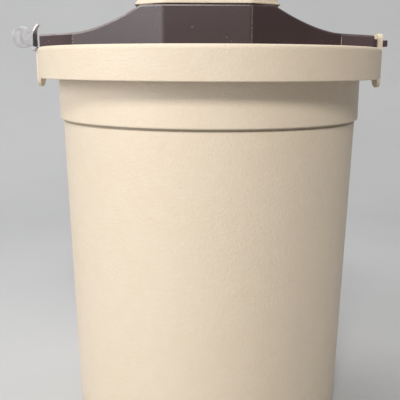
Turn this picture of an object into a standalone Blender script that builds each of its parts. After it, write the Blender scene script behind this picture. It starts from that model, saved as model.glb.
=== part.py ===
"""Motor-driven bucket ice-cream freezer: moulded tub, can with lid and dasher, and a geared motor head.

The origin is the centre of the tub's underside, +Z is up and the front is -Y.
Every dimension below is in millimetres; the helpers turn it into Blender's metres.
"""

import math

import bmesh
import bpy
from mathutils import Matrix, Vector

MM = 0.001
GAP = 0.3                      # air between pieces that touch
FIT = 0.15                     # air between the thin pieces of the latch
ROUND = 20                     # sides of a small turned piece

# ---- tub ----
RIM_Z = 300.0                  # top of the rim above the floor
RIM_R = 135.0                  # outer radius of the rim's skirt
RIM_ROUND = 3.5
SKIRT_Z = 276.8                # bottom of the skirt
SKIRT_WALL = 2.8
BAND_R = 119.4                 # stacking band under the rim
BAND_Z = 245.8                 # bottom of the band
WALL_TOP_R = 116.9
WALL_LOW_R = 110.4
WALL_LOW_Z = 15.0
WALL = 3.0
FLOOR_Z = 9.0
FOOT_R = 107.5
TUB_SIDES = 72
EAR_X = 137.3                  # outer face of the ear pillars
EAR_WALL = 4.0
EAR_HALF = 9.5
EAR_TOP = 311.8
EAR_LOW = 269.5
WINDOW_HALF = 6.2
WINDOW_TOP = 307.4
HOOK_REACH = 2.5
DRAIN_Z = 222.0
DRAIN_R = 5.0

# ---- can, lid and dasher ----
CAN_R = 78.0
CAN_WALL = 1.0
CAN_LOW = 14.3
CAN_TOP = 256.0
CAN_SIDES = 48
LID_TOP = 260.5
NECK_R = 17.0
BOSS_LOW_Z = 283.0
BOSS_TOP_Z = 296.0
BOSS_LOW_R = 16.5              # corner radius of the hexagonal boss
BOSS_TOP_R = 14.0
STEM_R = 4.2
STEM_TOP = 324.0

# ---- motor head ----
SHELL_X = -2.0                 # the shell sits this far towards the latch
ARM_HALF_LENGTH = 131.0
ARM_HALF_WIDTH = 16.5
SEAM_X = 105.0                 # where the straight arm meets the slanting facet
FACE_HALF = 32.0               # half width of the flat front face
FACE_Y = 57.0
DECK_X = 49.0                  # half length of the flat roof that the motor stands on
CAP_X = 54.0                   # half length of the motor cover's foot
SHELL_LOW = RIM_Z + GAP
ARM_END_Z = 310.0
ARM_SEAM_Z = 311.5
DECK_Z = 330.0                 # roof of the gear case, which carries the motor
SHELL_WALL = 2.5
SWOOP_POWER = 1.65
POCKET_HALF = 10.5
POCKET_DEPTH = 4.8
POCKET_Z = 306.7
CAP_WALL = 2.2
GLAND_X = 12.0                 # the cord's entry in the back face
GLAND_Z = 316.0

# ---- hinge of the head, on the tab in the right ear ----
TILT_X = 132.0
TILT_Z = 306.9
TAB_HALF = 5.5
TAB_LOW = 301.7
TAB_END = 142.3

# ---- latch on the left pillar ----
LATCH_X = -138.9               # axis of the latch pin
LATCH_Z = 299.0
LATCH_HALF = 7.0
LATCH_PILLAR_TOP = 295.5
LATCH_PIN_R = 0.9
KNUCKLE_R = 1.9
KNUCKLE_HALF = 4.2
STEEL = 1.3
PAD_R = 8.3
LEAF = 1.0
LEAF_HALF = 8.0
RECESS_X = 135.4               # floor of the recess that the bracket's leaf lies in
RIVETS_Z = (RIM_Z - 9.0, RIM_Z - 20.0)

# ---- gear train: (teeth, module) and the shaft places it gives ----
OUTPUT_GEAR = (52, 1.25)
SECOND_PINION = (13, 1.25)
SECOND_GEAR = (42, 1.0)
FIRST_PINION = (12, 1.0)
FIRST_GEAR = (36, 0.8)
MOTOR_PINION = (12, 0.8)
BACKLASH = 0.22
PIN_R = 2.0
BELL_R = 21.0                  # the socket under the output gear
BELL_LOW = 285.0
SHAFT_R = 1.6
FIRST_TURN = 123.4             # direction of the first shaft from the second, degrees
MOTOR_TURN = 210.0             # direction of the motor from the first shaft, degrees

# ---- motor ----
CORE_LOW = 337.0
CORE_TOP = 355.0
ROTOR_R = 11.8
BORE_R = 12.3


def centre_distance(wheel, pinion):
    return (wheel[0] + pinion[0]) * wheel[1] / 2


def step_from(point, angle, distance):
    turn = math.radians(angle)
    return (point[0] + distance * math.cos(turn), point[1] + distance * math.sin(turn))


OUTPUT_AT = (0.0, 0.0)
SECOND_AT = (centre_distance(OUTPUT_GEAR, SECOND_PINION), 0.0)
FIRST_AT = step_from(SECOND_AT, FIRST_TURN, centre_distance(SECOND_GEAR, FIRST_PINION))
MOTOR_AT = step_from(FIRST_AT, MOTOR_TURN, centre_distance(FIRST_GEAR, MOTOR_PINION))


# ------------------------------------------------------------------ helpers

def new_collection(name):
    made = bpy.data.collections.new(name)
    bpy.context.scene.collection.children.link(made)
    return made


def start_clean():
    for obj in list(bpy.data.objects):
        bpy.data.objects.remove(obj)


start_clean()
PARTS = new_collection("ice_cream_freezer")
CUTTERS = new_collection("cutters")
MATERIALS = {}


def material(name, colour, roughness, metallic=0.0, alpha=1.0):
    if name not in MATERIALS:
        made = bpy.data.materials.new(name)
        made.use_nodes = True
        shader = made.node_tree.nodes["Principled BSDF"]
        shader.inputs["Base Color"].default_value = (*colour, 1.0)
        shader.inputs["Roughness"].default_value = roughness
        shader.inputs["Metallic"].default_value = metallic
        shader.inputs["Alpha"].default_value = alpha
        MATERIALS[name] = made
    return MATERIALS[name]


ALMOND = material("almond_plastic", (0.80, 0.71, 0.56), 0.45)
BROWN = material("brown_plastic", (0.10, 0.07, 0.065), 0.5)
ALUMINIUM = material("aluminium", (0.78, 0.79, 0.80), 0.3, 1.0)
ZINC = material("zinc_steel", (0.62, 0.61, 0.63), 0.35, 1.0)
LAMINATE = material("lamination_steel", (0.30, 0.30, 0.32), 0.5, 1.0)
COPPER = material("coil_copper", (0.60, 0.28, 0.12), 0.4, 0.8)
BRONZE = material("bronze_bush", (0.55, 0.40, 0.20), 0.45, 1.0)
NYLON = material("nylon_gear", (0.86, 0.84, 0.76), 0.5)
IVORY = material("ivory_plastic", (0.88, 0.85, 0.76), 0.4)
BLACK = material("black_rubber", (0.03, 0.03, 0.03), 0.7)
SMOKE = material("clear_lid", (0.86, 0.84, 0.76), 0.2)


def place(obj, collection, finish):
    for owner in list(obj.users_collection):
        owner.objects.unlink(obj)
    collection.objects.link(obj)
    if finish is not None:
        obj.data.materials.clear()
        obj.data.materials.append(finish)
    return obj


def from_bmesh(name, mesh_data, finish):
    mesh = bpy.data.meshes.new(name)
    mesh_data.to_mesh(mesh)
    mesh_data.free()
    obj = bpy.data.objects.new(name, mesh)
    return place(obj, PARTS, finish)


def smooth(obj, angle=35.0):
    obj.data.shade_smooth()
    obj.data.set_sharp_from_angle(angle=math.radians(angle))
    return obj


def box(name, low, high, finish=None):
    """A box between two corners."""
    made = bmesh.new()
    bmesh.ops.create_cube(made, size=1.0)
    low, high = Vector(low) * MM, Vector(high) * MM
    size = high - low
    bmesh.ops.scale(made, vec=size, verts=made.verts)
    bmesh.ops.translate(made, vec=(low + high) / 2, verts=made.verts)
    return from_bmesh(name, made, finish)


def cone(name, at, z_low, z_high, r_low, r_high, sides=ROUND, finish=None, turn=0.0):
    """A cylinder, cone or prism that stands on Z at the point `at`."""
    made = bmesh.new()
    height = (z_high - z_low) * MM
    bmesh.ops.create_cone(
        made, cap_ends=True, segments=sides, radius1=r_low * MM, radius2=r_high * MM, depth=height
    )
    bmesh.ops.rotate(made, cent=(0, 0, 0), matrix=Matrix.Rotation(math.radians(turn), 3, "Z"), verts=made.verts)
    middle = Vector((at[0] * MM, at[1] * MM, (z_low + z_high) / 2 * MM))
    bmesh.ops.translate(made, vec=middle, verts=made.verts)
    return from_bmesh(name, made, finish)


def rod(name, start, end, radius, sides=24, finish=None):
    """A cylinder between two points."""
    made = bmesh.new()
    start, end = Vector(start) * MM, Vector(end) * MM
    bmesh.ops.create_cone(
        made, cap_ends=True, segments=sides, radius1=radius * MM, radius2=radius * MM, depth=(end - start).length
    )
    turn = (end - start).to_track_quat("Z", "Y").to_matrix()
    bmesh.ops.rotate(made, cent=(0, 0, 0), matrix=turn, verts=made.verts)
    bmesh.ops.translate(made, vec=(start + end) / 2, verts=made.verts)
    return from_bmesh(name, made, finish)


def prism(name, outlines, low, high, axis="Z", finish=None):
    """Flat outlines, the first one solid and the rest holes, given a thickness along an axis.

    With axis Y an outline's points are (x, z), and with axis X they are (y, z).
    """
    curve = bpy.data.curves.new(name + "_outline", "CURVE")
    curve.dimensions = "2D"
    curve.fill_mode = "BOTH"
    curve.extrude = (high - low) / 2 * MM
    for outline in outlines:
        spline = curve.splines.new("POLY")
        spline.points.add(len(outline) - 1)
        spline.use_cyclic_u = True
        for point, (u, v) in zip(spline.points, outline):
            point.co = (u * MM, v * MM, 0.0, 1.0)
    drawn = bpy.data.objects.new(name + "_outline", curve)
    PARTS.objects.link(drawn)
    middle = (low + high) / 2 * MM
    if axis == "Z":
        drawn.matrix_world = Matrix.Translation((0, 0, middle))
    elif axis == "Y":
        drawn.matrix_world = Matrix.Translation((0, middle, 0)) @ Matrix.Rotation(math.pi / 2, 4, "X")
    else:
        drawn.matrix_world = Matrix(
            ((0, 0, 1, middle), (1, 0, 0, 0), (0, 1, 0, 0), (0, 0, 0, 1))
        )
    return curve_to_mesh(name, drawn, finish)


def curve_to_mesh(name, drawn, finish):
    """The curve object made a welded mesh object with the same place."""
    bpy.context.view_layer.update()
    graph = bpy.context.evaluated_depsgraph_get()
    mesh = bpy.data.meshes.new_from_object(drawn.evaluated_get(graph))
    work = bmesh.new()
    work.from_mesh(mesh)
    bmesh.ops.remove_doubles(work, verts=work.verts, dist=0.00001)
    bmesh.ops.transform(work, matrix=drawn.matrix_world, verts=work.verts)
    bmesh.ops.recalc_face_normals(work, faces=work.faces)
    bpy.data.objects.remove(drawn)
    return from_bmesh(name, work, finish)


def turned(name, profile, sides=ROUND, finish=None, at=(0.0, 0.0)):
    """A solid of revolution. The profile's (radius, height) points run up the inside and down the outside."""
    work = bmesh.new()
    points = [work.verts.new((r * MM, 0.0, z * MM)) for r, z in profile]
    for here, following in zip(points, points[1:]):
        work.edges.new((here, following))
    if profile[0][0] > 0.0:
        work.edges.new((points[-1], points[0]))
    obj = from_bmesh(name, work, finish)
    screw = obj.modifiers.new("Screw", "SCREW")
    screw.steps = sides
    screw.render_steps = sides
    screw.use_merge_vertices = True
    screw.merge_threshold = 0.00001
    obj.location = (at[0] * MM, at[1] * MM, 0.0)
    return obj


def boolean(obj, other, operation):
    other.hide_render = True
    other.display_type = "WIRE"
    place(other, CUTTERS, None)
    modifier = obj.modifiers.new(operation.title(), "BOOLEAN")
    modifier.operation = operation
    modifier.object = other
    return obj


def cut(obj, *others):
    for other in others:
        boolean(obj, other, "DIFFERENCE")
    return obj


def join(obj, *others):
    for other in others:
        boolean(obj, other, "UNION")
    return obj


def circle(radius, sides, at=(0.0, 0.0)):
    step = 2 * math.pi / sides
    return [(at[0] + radius * math.cos(step * i), at[1] + radius * math.sin(step * i)) for i in range(sides)]


def arc(at, radius, first, last, count):
    """Points on an arc, both ends included, with angles in degrees."""
    return [step_from(at, first + (last - first) * i / (count - 1), radius) for i in range(count)]


# ------------------------------------------------------------------ tub

def tub_profile():
    inner_low = WALL_LOW_R - WALL
    inner_top = WALL_TOP_R - WALL
    inner_band = BAND_R - WALL
    spigot = [(0.0, 20.5), (3.5, 20.5), (5.0, 18.5), (5.0, 14.0), (16.0, 14.0), (18.0, FLOOR_Z)]
    inside = [
        (inner_low - 6.0, FLOOR_Z), (inner_low - 1.5, FLOOR_Z + 2.0), (inner_low, WALL_LOW_Z + 1.0),
        (inner_top, BAND_Z - 3.0), (inner_band, BAND_Z + 1.5), (inner_band, RIM_Z - 1.5), (inner_band + 1.5, RIM_Z),
    ]
    rounded = arc((RIM_R - RIM_ROUND, RIM_Z - RIM_ROUND), RIM_ROUND, 90.0, 0.0, 5)
    skirt = [
        (RIM_R - 0.2, SKIRT_Z), (RIM_R - SKIRT_WALL, SKIRT_Z),
        (RIM_R - SKIRT_WALL, RIM_Z - WALL), (BAND_R, RIM_Z - WALL),
    ]
    band = [(BAND_R, BAND_Z + 3.5), (BAND_R - 0.5, BAND_Z + 1.4), (BAND_R - 1.8, BAND_Z), (WALL_TOP_R, BAND_Z - 0.4)]
    base = [
        (WALL_LOW_R, WALL_LOW_Z), (WALL_LOW_R - 0.9, WALL_LOW_Z - 5.5), (FOOT_R, WALL_LOW_Z - 9.5),
        (FOOT_R, 0.0), (FOOT_R - 4.5, 0.0), (FOOT_R - 4.5, 4.0), (24.0, 4.0), (22.0, 0.0), (0.0, 0.0),
    ]
    return spigot + inside + rounded + skirt + band + base


def ear_outline():
    """Side view of the right ear above the rim, seen along X: straight sides with a rounded top."""
    corner = 4.5
    half = EAR_HALF - 0.02
    top = arc((half - corner, EAR_TOP - corner), corner, 0.0, 90.0, 5)
    top += arc((corner - half, EAR_TOP - corner), corner, 90.0, 180.0, 5)
    return top + [(-half, RIM_Z - 4.0), (half, RIM_Z - 4.0)]


def pillar_outline(top):
    """Side view of the pillar that runs down the skirt, with a rounded foot."""
    corner = 4.5
    foot = arc((corner - EAR_HALF, EAR_LOW + corner), corner, 180.0, 270.0, 5)
    foot += arc((EAR_HALF - corner, EAR_LOW + corner), corner, 270.0, 360.0, 5)
    return [(EAR_HALF, top), (-EAR_HALF, top)] + foot


def make_tub():
    tub = turned("tub", tub_profile(), TUB_SIDES, ALMOND)
    pillar_in = RIM_R - 2.1
    for side, top in ((-1, LATCH_PILLAR_TOP), (1, RIM_Z - 2.0)):
        low, high = sorted((side * pillar_in, side * EAR_X))
        join(tub, prism("pillar", [pillar_outline(top)], low, high, "X"))
    join(tub, prism("ear", [ear_outline()], EAR_X - EAR_WALL, EAR_X - 0.01, "X"))
    hook = [
        (EAR_X - EAR_WALL - HOOK_REACH, EAR_TOP - 0.8), (EAR_X - EAR_WALL - HOOK_REACH, WINDOW_TOP + 0.8),
        (EAR_X - EAR_WALL - HOOK_REACH + 0.8, WINDOW_TOP), (EAR_X - 1.0, WINDOW_TOP), (EAR_X - 1.0, EAR_TOP - 0.8),
    ]
    join(tub, prism("hook", [hook], -EAR_HALF + 3.0, EAR_HALF - 3.0, "Y"))
    window = [
        (EAR_X - EAR_WALL - HOOK_REACH - 0.3, RIM_Z + 0.2), (EAR_X + 1.2, RIM_Z - 2.8),
        (EAR_X + 1.2, WINDOW_TOP), (EAR_X - EAR_WALL - HOOK_REACH - 0.3, WINDOW_TOP),
    ]
    cut(tub, prism("window_cutter", [window], -WINDOW_HALF, WINDOW_HALF, "Y"))
    cut(tub, rod("drain_cutter", (0, 105, DRAIN_Z), (0, 125, DRAIN_Z), DRAIN_R, 16))
    recess_half = LEAF_HALF + GAP
    cut(tub, box("leaf_recess", (-EAR_X - 1, -recess_half, RIVETS_Z[1] - 4.5), (-RECESS_X, recess_half, RIM_Z)))
    for z in RIVETS_Z:
        cut(tub, rod("rivet_cutter", (-EAR_X - 1, 0, z), (-RIM_R + 9.0, 0, z), 1.9, 12))
    return smooth(tub, 30.0)


# ------------------------------------------------------------------ can, lid and dasher

def make_canister():
    inner = CAN_R - CAN_WALL
    dimple = [(0.0, 22.2), (4.8, 22.2), (6.6, 20.2), (6.6, CAN_LOW + CAN_WALL)]
    inside = [(inner - 5.0, CAN_LOW + CAN_WALL), (inner, CAN_LOW + 6.0)]
    inside += [(inner, CAN_TOP - 0.4), (inner + 0.4, CAN_TOP)]
    outside = [(CAN_R + 1.3, CAN_TOP), (CAN_R + 1.3, CAN_TOP - 2.0), (CAN_R, CAN_TOP - 2.6), (CAN_R, CAN_LOW + 5.5)]
    under = [(CAN_R - 5.4, CAN_LOW), (5.6, CAN_LOW), (5.6, 19.6), (4.2, 21.2), (0.0, 21.2)]
    can = turned("canister", dimple + inside + outside + under, CAN_SIDES, ALUMINIUM)
    for side in (-1, 1):
        low, high = sorted((side * (CAN_R - 3.0), side * (CAN_R + 3.0)))
        cut(can, box("notch", (low, -5.0, CAN_TOP - 3.6), (high, 5.0, CAN_TOP + 1.0)))
    return smooth(can, 30.0)


def make_lid():
    """A flat lid with a skirt over the can's bead and a tall neck that ends in a six-sided driving boss."""
    hole = 6.5
    profile = [
        (0.0, BOSS_LOW_Z + 1.4), (NECK_R - 1.5, BOSS_LOW_Z + 1.4),
        (NECK_R, BOSS_LOW_Z), (NECK_R + 1.0, LID_TOP + 4.0), (NECK_R + 4.0, LID_TOP),
        (CAN_R + 3.0, LID_TOP), (CAN_R + 4.2, LID_TOP - 1.2), (CAN_R + 4.2, CAN_TOP - 10.0),
        (CAN_R + 2.0, CAN_TOP - 10.0), (CAN_R + 2.0, CAN_TOP + GAP), (0.0, CAN_TOP + GAP),
    ]
    lid = turned("canister_lid", profile, CAN_SIDES, SMOKE)
    join(lid, cone("boss", (0, 0), BOSS_LOW_Z, BOSS_TOP_Z, BOSS_LOW_R, BOSS_TOP_R, 6))
    cut(lid, cone("boss_bore", (0, 0), CAN_TOP - 5.0, BOSS_TOP_Z + 2, hole, hole, ROUND))
    for side in (-1, 1):
        low, high = sorted((side * (CAN_R - 2.4), side * (CAN_R + 3.0)))
        join(lid, box("key", (low, -4.2, CAN_TOP - 2.8), (high, 4.2, CAN_TOP + 1.5)))
    return smooth(lid, 30.0)


def make_dasher():
    """A flat open frame on a stem: cross bars, two uprights and slanting mixing vanes between them."""
    reach = CAN_R - CAN_WALL - 9.0
    low, high = 26.0, CAN_TOP - 14.0
    frame = box("dasher_frame", (-reach, -2.5, low), (reach, 2.5, high), IVORY)
    inner = 5.5
    window_low = low + 9.0
    rows = 3
    pitch = (high - low - 9.0) / rows
    for row in range(rows):
        z_low = window_low + row * pitch
        z_high = z_low + pitch - 9.0
        for side in (-1, 1):
            x_low, x_high = sorted((side * (inner + 2.5), side * (reach - 8.0)))
            cut(frame, box("opening", (x_low, -5, z_low), (x_high, 5, z_high)))
    join(frame, cone("stem", (0, 0), low - 3.0, CAN_TOP + 6.0, 6.0, 6.0, 16))
    join(frame, cone("stem_top", (0, 0), CAN_TOP + 4.0, RIM_Z + 10.0, STEM_R, STEM_R, 16))
    join(frame, cone("stem_hex", (0, 0), RIM_Z + 8.0, STEM_TOP, 4.7, STEM_R, 6))
    foot = cone("foot", (0, 0), CAN_LOW + CAN_WALL + 1.0, low + 8.0, 11.0, 8.5, 24)
    cut(foot, cone("foot_bore", (0, 0), 10.0, 22.7, 7.3, 7.3, 24))
    join(frame, foot)
    for row in range(rows):
        z_mid = window_low + row * pitch + (pitch - 9.0) / 2
        for side in (-1, 1):
            vane = box("vane", (-7.0, -1.2, -pitch / 2 + 3.5), (7.0, 1.2, pitch / 2 - 3.5))
            vane.location = (side * 34.0 * MM, 0.0, z_mid * MM)
            vane.rotation_euler = (0.0, 0.0, math.radians(38.0 * side))
            join(frame, vane)
    return smooth(frame, 30.0)


def make_scrapers():
    """Two blades clipped to the dasher's uprights, nearly touching the can's wall."""
    reach = CAN_R - CAN_WALL - 9.0
    blades = []
    for name, side in (("scraper_left", -1), ("scraper_right", 1)):
        outline = [
            (side * (reach + GAP), -3.2), (side * (reach + 7.2), -1.0),
            (side * (reach + 8.2), 0.8), (side * (reach + 5.5), 2.2), (side * (reach + GAP), 3.2),
        ]
        if side < 0:
            outline.reverse()
        blades.append(prism(name, [outline], 32.0, CAN_TOP - 20.0, "Z", IVORY))
    return blades


# ------------------------------------------------------------------ gears

def gear_outline(teeth, module, phase=0.0):
    """Involute teeth of 20 degrees, thinned for backlash, with the flank of a large wheel drawn straight."""
    pressure = math.radians(20.0)
    pitch = teeth * module / 2
    base = pitch * math.cos(pressure)
    tip = pitch + 0.9 * module
    root = pitch - 1.2 * module
    half_pitch_angle = math.pi / (2 * teeth) - BACKLASH / (2 * pitch)
    involute_at_pitch = math.tan(pressure) - pressure

    def half_angle(radius):
        inside = min(1.0, base / radius)
        here = math.acos(inside)
        return half_pitch_angle + involute_at_pitch - (math.tan(here) - here)

    flank = [root, tip] if teeth > 30 else [root, pitch, tip]
    points = []
    for tooth in range(teeth):
        middle = 2 * math.pi * tooth / teeth + phase
        for radius in flank:
            turn = middle - half_angle(max(radius, base))
            points.append((radius * math.cos(turn), radius * math.sin(turn)))
        for radius in reversed(flank):
            turn = middle + half_angle(max(radius, base))
            points.append((radius * math.cos(turn), radius * math.sin(turn)))
    return points


def meshing_phase(direction, teeth, other_teeth, other_phase):
    """The phase that puts a gap opposite the other gear's tooth. Direction is from that gear to this one."""
    turn = math.radians(direction)
    shared = (turn - other_phase) * other_teeth
    return turn + math.pi + (shared + math.pi) / teeth


def moved(outline, at):
    return [(x + at[0], y + at[1]) for x, y in outline]


def make_gears():
    """The output gear with its driving socket, two compound wheels and the motor's pinion."""
    second_phase = meshing_phase(0.0, SECOND_PINION[0], OUTPUT_GEAR[0], 0.0)
    first_phase = meshing_phase(FIRST_TURN, FIRST_PINION[0], SECOND_GEAR[0], 0.0)
    motor_phase = meshing_phase(MOTOR_TURN, MOTOR_PINION[0], FIRST_GEAR[0], 0.0)

    output = prism("output_gear", [gear_outline(*OUTPUT_GEAR)], 303.4, 312.5, "Z", NYLON)
    join(output, cone("bell", (0, 0), BELL_LOW, 304.5, BELL_R, BELL_R, 36))
    slope = (BOSS_LOW_R - BOSS_TOP_R) / (BOSS_TOP_Z - BOSS_LOW_Z)
    play = 0.9
    low, high = 284.0, 296.8
    socket_low = BOSS_LOW_R - (low - BOSS_LOW_Z) * slope + play
    socket_high = BOSS_LOW_R - (high - BOSS_LOW_Z) * slope + play
    cut(output, cone("socket_cutter", (0, 0), low, high, socket_low, socket_high, 6))
    cut(output, cone("output_bore", (0, 0), 290.0, 314.0, 9.6, 9.6, 24))

    second = prism("second_gear", [moved(gear_outline(*SECOND_GEAR), SECOND_AT)], 314.0, 319.0, "Z", NYLON)
    join(second, prism("second_pinion", [moved(gear_outline(*SECOND_PINION, second_phase), SECOND_AT)], 303.4, 315.0))
    cut(second, cone("second_bore", SECOND_AT, 300.0, 325.0, PIN_R + GAP, PIN_R + GAP, 14))

    first = prism("first_gear", [moved(gear_outline(*FIRST_GEAR), FIRST_AT)], 320.5, 324.8, "Z", NYLON)
    join(first, prism("first_pinion", [moved(gear_outline(*FIRST_PINION, first_phase), FIRST_AT)], 313.8, 321.5))
    cut(first, cone("first_bore", FIRST_AT, 310.0, 328.0, PIN_R + GAP, PIN_R + GAP, 14))

    pinion = prism("motor_pinion", [moved(gear_outline(*MOTOR_PINION, motor_phase), MOTOR_AT)], 320.0, 326.0)
    place(pinion, PARTS, BRONZE)
    cut(pinion, cone("pinion_bore", MOTOR_AT, 318.0, 328.0, SHAFT_R + 0.15, SHAFT_R + 0.15, 14))

    cone("second_gear_pin", SECOND_AT, 303.0 + GAP, 327.6, PIN_R, PIN_R, 14, ZINC)
    first_pin = cone("first_gear_pin", FIRST_AT, 313.2, 327.6, PIN_R, PIN_R, 14, ZINC)
    join(first_pin, cone("pin_head", FIRST_AT, 312.8, 313.5, 3.4, 3.4, 14))
    for gear in (output, second, first, pinion):
        smooth(gear, 25.0)


# ------------------------------------------------------------------ motor head shell

def roof_height(away):
    """Height of the shell's roof line at a distance from the shell's middle, between its seam and its deck."""
    rise = min(1.0, max(0.0, (SEAM_X - away) / (SEAM_X - DECK_X)))
    return ARM_SEAM_Z + (DECK_Z - ARM_SEAM_Z) * rise**SWOOP_POWER


def swoop(count=9):
    """Roof line of one arm from the seam up to the deck, as (distance from the middle, height)."""
    places = [SEAM_X + (DECK_X - SEAM_X) * i / (count - 1) for i in range(count)]
    return [(x, roof_height(x)) for x in places]


def shell_side(inset, low):
    """Front view of the shell: flat deck in the middle, swooping arms to both ends."""
    beyond = ARM_HALF_LENGTH + 6.0
    fall = (ARM_SEAM_Z - ARM_END_Z) / (ARM_HALF_LENGTH - SEAM_X) * 6.0
    right = [(beyond, low), (beyond, ARM_END_Z - fall - inset)]
    right += [(x, z - inset) for x, z in swoop()]
    left = [(-x, z) for x, z in reversed(right)]
    return [(x + SHELL_X, z) for x, z in right + left]


def shell_plan(inset):
    """Top view of the shell: a flat face at front and back, slanting facets and straight arms."""
    face, width = FACE_Y - inset, ARM_HALF_WIDTH - inset
    quarter = [(ARM_HALF_LENGTH - inset, width), (SEAM_X, width), (FACE_HALF, face)]
    half = quarter + [(-x, y) for x, y in reversed(quarter)]
    return [(x + SHELL_X, y) for x, y in half + [(x, -y) for x, y in reversed(half)]]


def make_housing():
    shell = prism("gear_housing", [shell_side(0.0, SHELL_LOW)], -FACE_Y - 5, FACE_Y + 5, "Y", BROWN)
    boolean(shell, prism("plan", [shell_plan(0.0)], SHELL_LOW - 5, DECK_Z + 5), "INTERSECT")
    hollow = prism("hollow", [shell_side(SHELL_WALL, SHELL_LOW - 5)], -FACE_Y - 5, FACE_Y + 5, "Y")
    boolean(hollow, prism("hollow_plan", [shell_plan(SHELL_WALL)], SHELL_LOW - 8, DECK_Z + 5), "INTERSECT")
    cut(shell, hollow)

    for side in (-1, 1):
        wall = side * (ARM_HALF_LENGTH - POCKET_DEPTH - SHELL_WALL) + SHELL_X
        outer = side * (ARM_HALF_LENGTH - 0.5) + SHELL_X
        low, high = sorted((wall, outer))
        half = POCKET_HALF + 2.0
        join(shell, box("end_block", (low, -half, SHELL_LOW + 0.01), (high, half, ARM_END_Z - 1.0)))
        low, high = sorted((side * (ARM_HALF_LENGTH - POCKET_DEPTH) + SHELL_X, side * (ARM_HALF_LENGTH + 4.0)))
        cut(shell, box("pocket", (low, -POCKET_HALF, POCKET_Z), (high, POCKET_HALF, ARM_END_Z + 5)))

    tab = box("tab", (TILT_X - 8.0, -TAB_HALF, TAB_LOW), (TAB_END, TAB_HALF, POCKET_Z - 0.01))
    join(shell, tab)

    stem_boss = cone("stem_boss", (0, 0), 313.8, DECK_Z - 1.0, 8.6, 8.6, 24)
    join(shell, cut(stem_boss, cone("stem_socket", (0, 0), 312.0, 325.5, 5.6, 5.6, 6)))
    for at in (FIRST_AT, SECOND_AT):
        join(shell, cone("pin_seat", at, 325.6, DECK_Z - 1.0, 4.4, 4.4, 14))
        cut(shell, cone("pin_seat_bore", at, 324.0, 328.0, PIN_R + 0.15, PIN_R + 0.15, 14))
    cut(shell, cone("shaft_hole", MOTOR_AT, 320.0, 335.0, 7.0, 7.0, 16))
    for x, y in plate_screw_places():
        roof_low = roof_height(abs(x - SHELL_X)) - 1.5
        post = cone("post", (x, y), RIM_Z + 3.6, roof_low, 4.0, 4.0, 12)
        join(shell, cut(post, cone("post_bore", (x, y), RIM_Z, roof_low - 3.0, 1.8, 1.8, 8)))
    for x, y in cap_screw_places():
        post = cone("cap_post", (x, y), DECK_Z - 1.0, DECK_Z + 4.0, 4.0, 4.0, 12)
        join(shell, cut(post, cone("cap_post_bore", (x, y), DECK_Z + 0.5, DECK_Z + 8.0, 1.8, 1.8, 8)))
    for x, y in motor_bolt_places():
        join(shell, cone("bolt_boss", (x, y), DECK_Z - 7.5, DECK_Z - 1.0, 3.5, 3.5, 12))
        cut(shell, cone("motor_bolt_hole", (x, y), DECK_Z - 9.0, DECK_Z + 3.0, 1.9, 1.9, 8))
    cut(shell, rod("gland_hole", (GLAND_X, FACE_Y - 6, GLAND_Z), (GLAND_X, FACE_Y + 3, GLAND_Z), 5.3, 16))
    return smooth(shell, 30.0)


def plate_screw_places():
    return [(sx * 84.0 + SHELL_X, sy * 17.0) for sx in (-1, 1) for sy in (-1, 1)]


def cap_screw_places():
    return [(SHELL_X - 38.0, -28.0), (SHELL_X + 38.0, -28.0)]


def motor_bolt_places():
    return [(MOTOR_AT[0], MOTOR_AT[1] + side * 19.0) for side in (-1, 1)]


def make_plate():
    """The plate that closes the gear case from below, with a collar round the output socket."""
    inset = SHELL_WALL + GAP
    reach = 96.0
    face = FACE_Y - inset
    drop = (FACE_Y - ARM_HALF_WIDTH) / (SEAM_X - FACE_HALF)
    side = face - (reach - FACE_HALF) * drop
    quarter = [(reach, side), (FACE_HALF, face)]
    half = quarter + [(-x, y) for x, y in reversed(quarter)]
    outline = [(x + SHELL_X, y) for x, y in half + [(x, -y) for x, y in reversed(half)]]
    plate = prism("gear_case_plate", [outline], RIM_Z + 0.6, RIM_Z + 3.0, "Z", BROWN)
    join(plate, cone("collar", (0, 0), RIM_Z - 3.0, RIM_Z + 1.5, BELL_R + 3.4, BELL_R + 3.4, 36))
    cut(plate, cone("collar_bore", (0, 0), RIM_Z - 5.0, RIM_Z + 5.0, BELL_R + 0.7, BELL_R + 0.7, 36))
    for x, y in plate_screw_places():
        cut(plate, cone("plate_hole", (x, y), RIM_Z - 2.0, RIM_Z + 5.0, 2.0, 2.0, 8))
    smooth(plate, 30.0)
    for number, (x, y) in enumerate(plate_screw_places(), 1):
        pan_screw(f"plate_screw_{number}", (x, y), RIM_Z + 0.6 - GAP, 1, 6.5)


def pan_screw(name, at, seat, direction, length):
    """A pan-head screw: the head is on the far side of its seat, and the shank runs in the direction given."""
    low, high = sorted((seat, seat - direction * 1.9))
    wide, narrow = (3.3, 2.6) if direction < 0 else (2.6, 3.3)
    screw = cone(name, at, low, high, wide, narrow, 14, ZINC)
    low, high = sorted((seat - direction * 0.5, seat + direction * length))
    join(screw, cone("shank", at, low, high, 1.5, 1.5, 8))
    face = seat - direction * 1.9
    low, high = sorted((face - direction * 1.0, face + direction * 0.9))
    cut(screw, box("slot", (at[0] - 2.2, at[1] - 0.4, low), (at[0] + 2.2, at[1] + 0.4, high)))
    cut(screw, box("slot", (at[0] - 0.4, at[1] - 2.2, low), (at[0] + 0.4, at[1] + 2.2, high)))
    return smooth(screw, 30.0)


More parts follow.
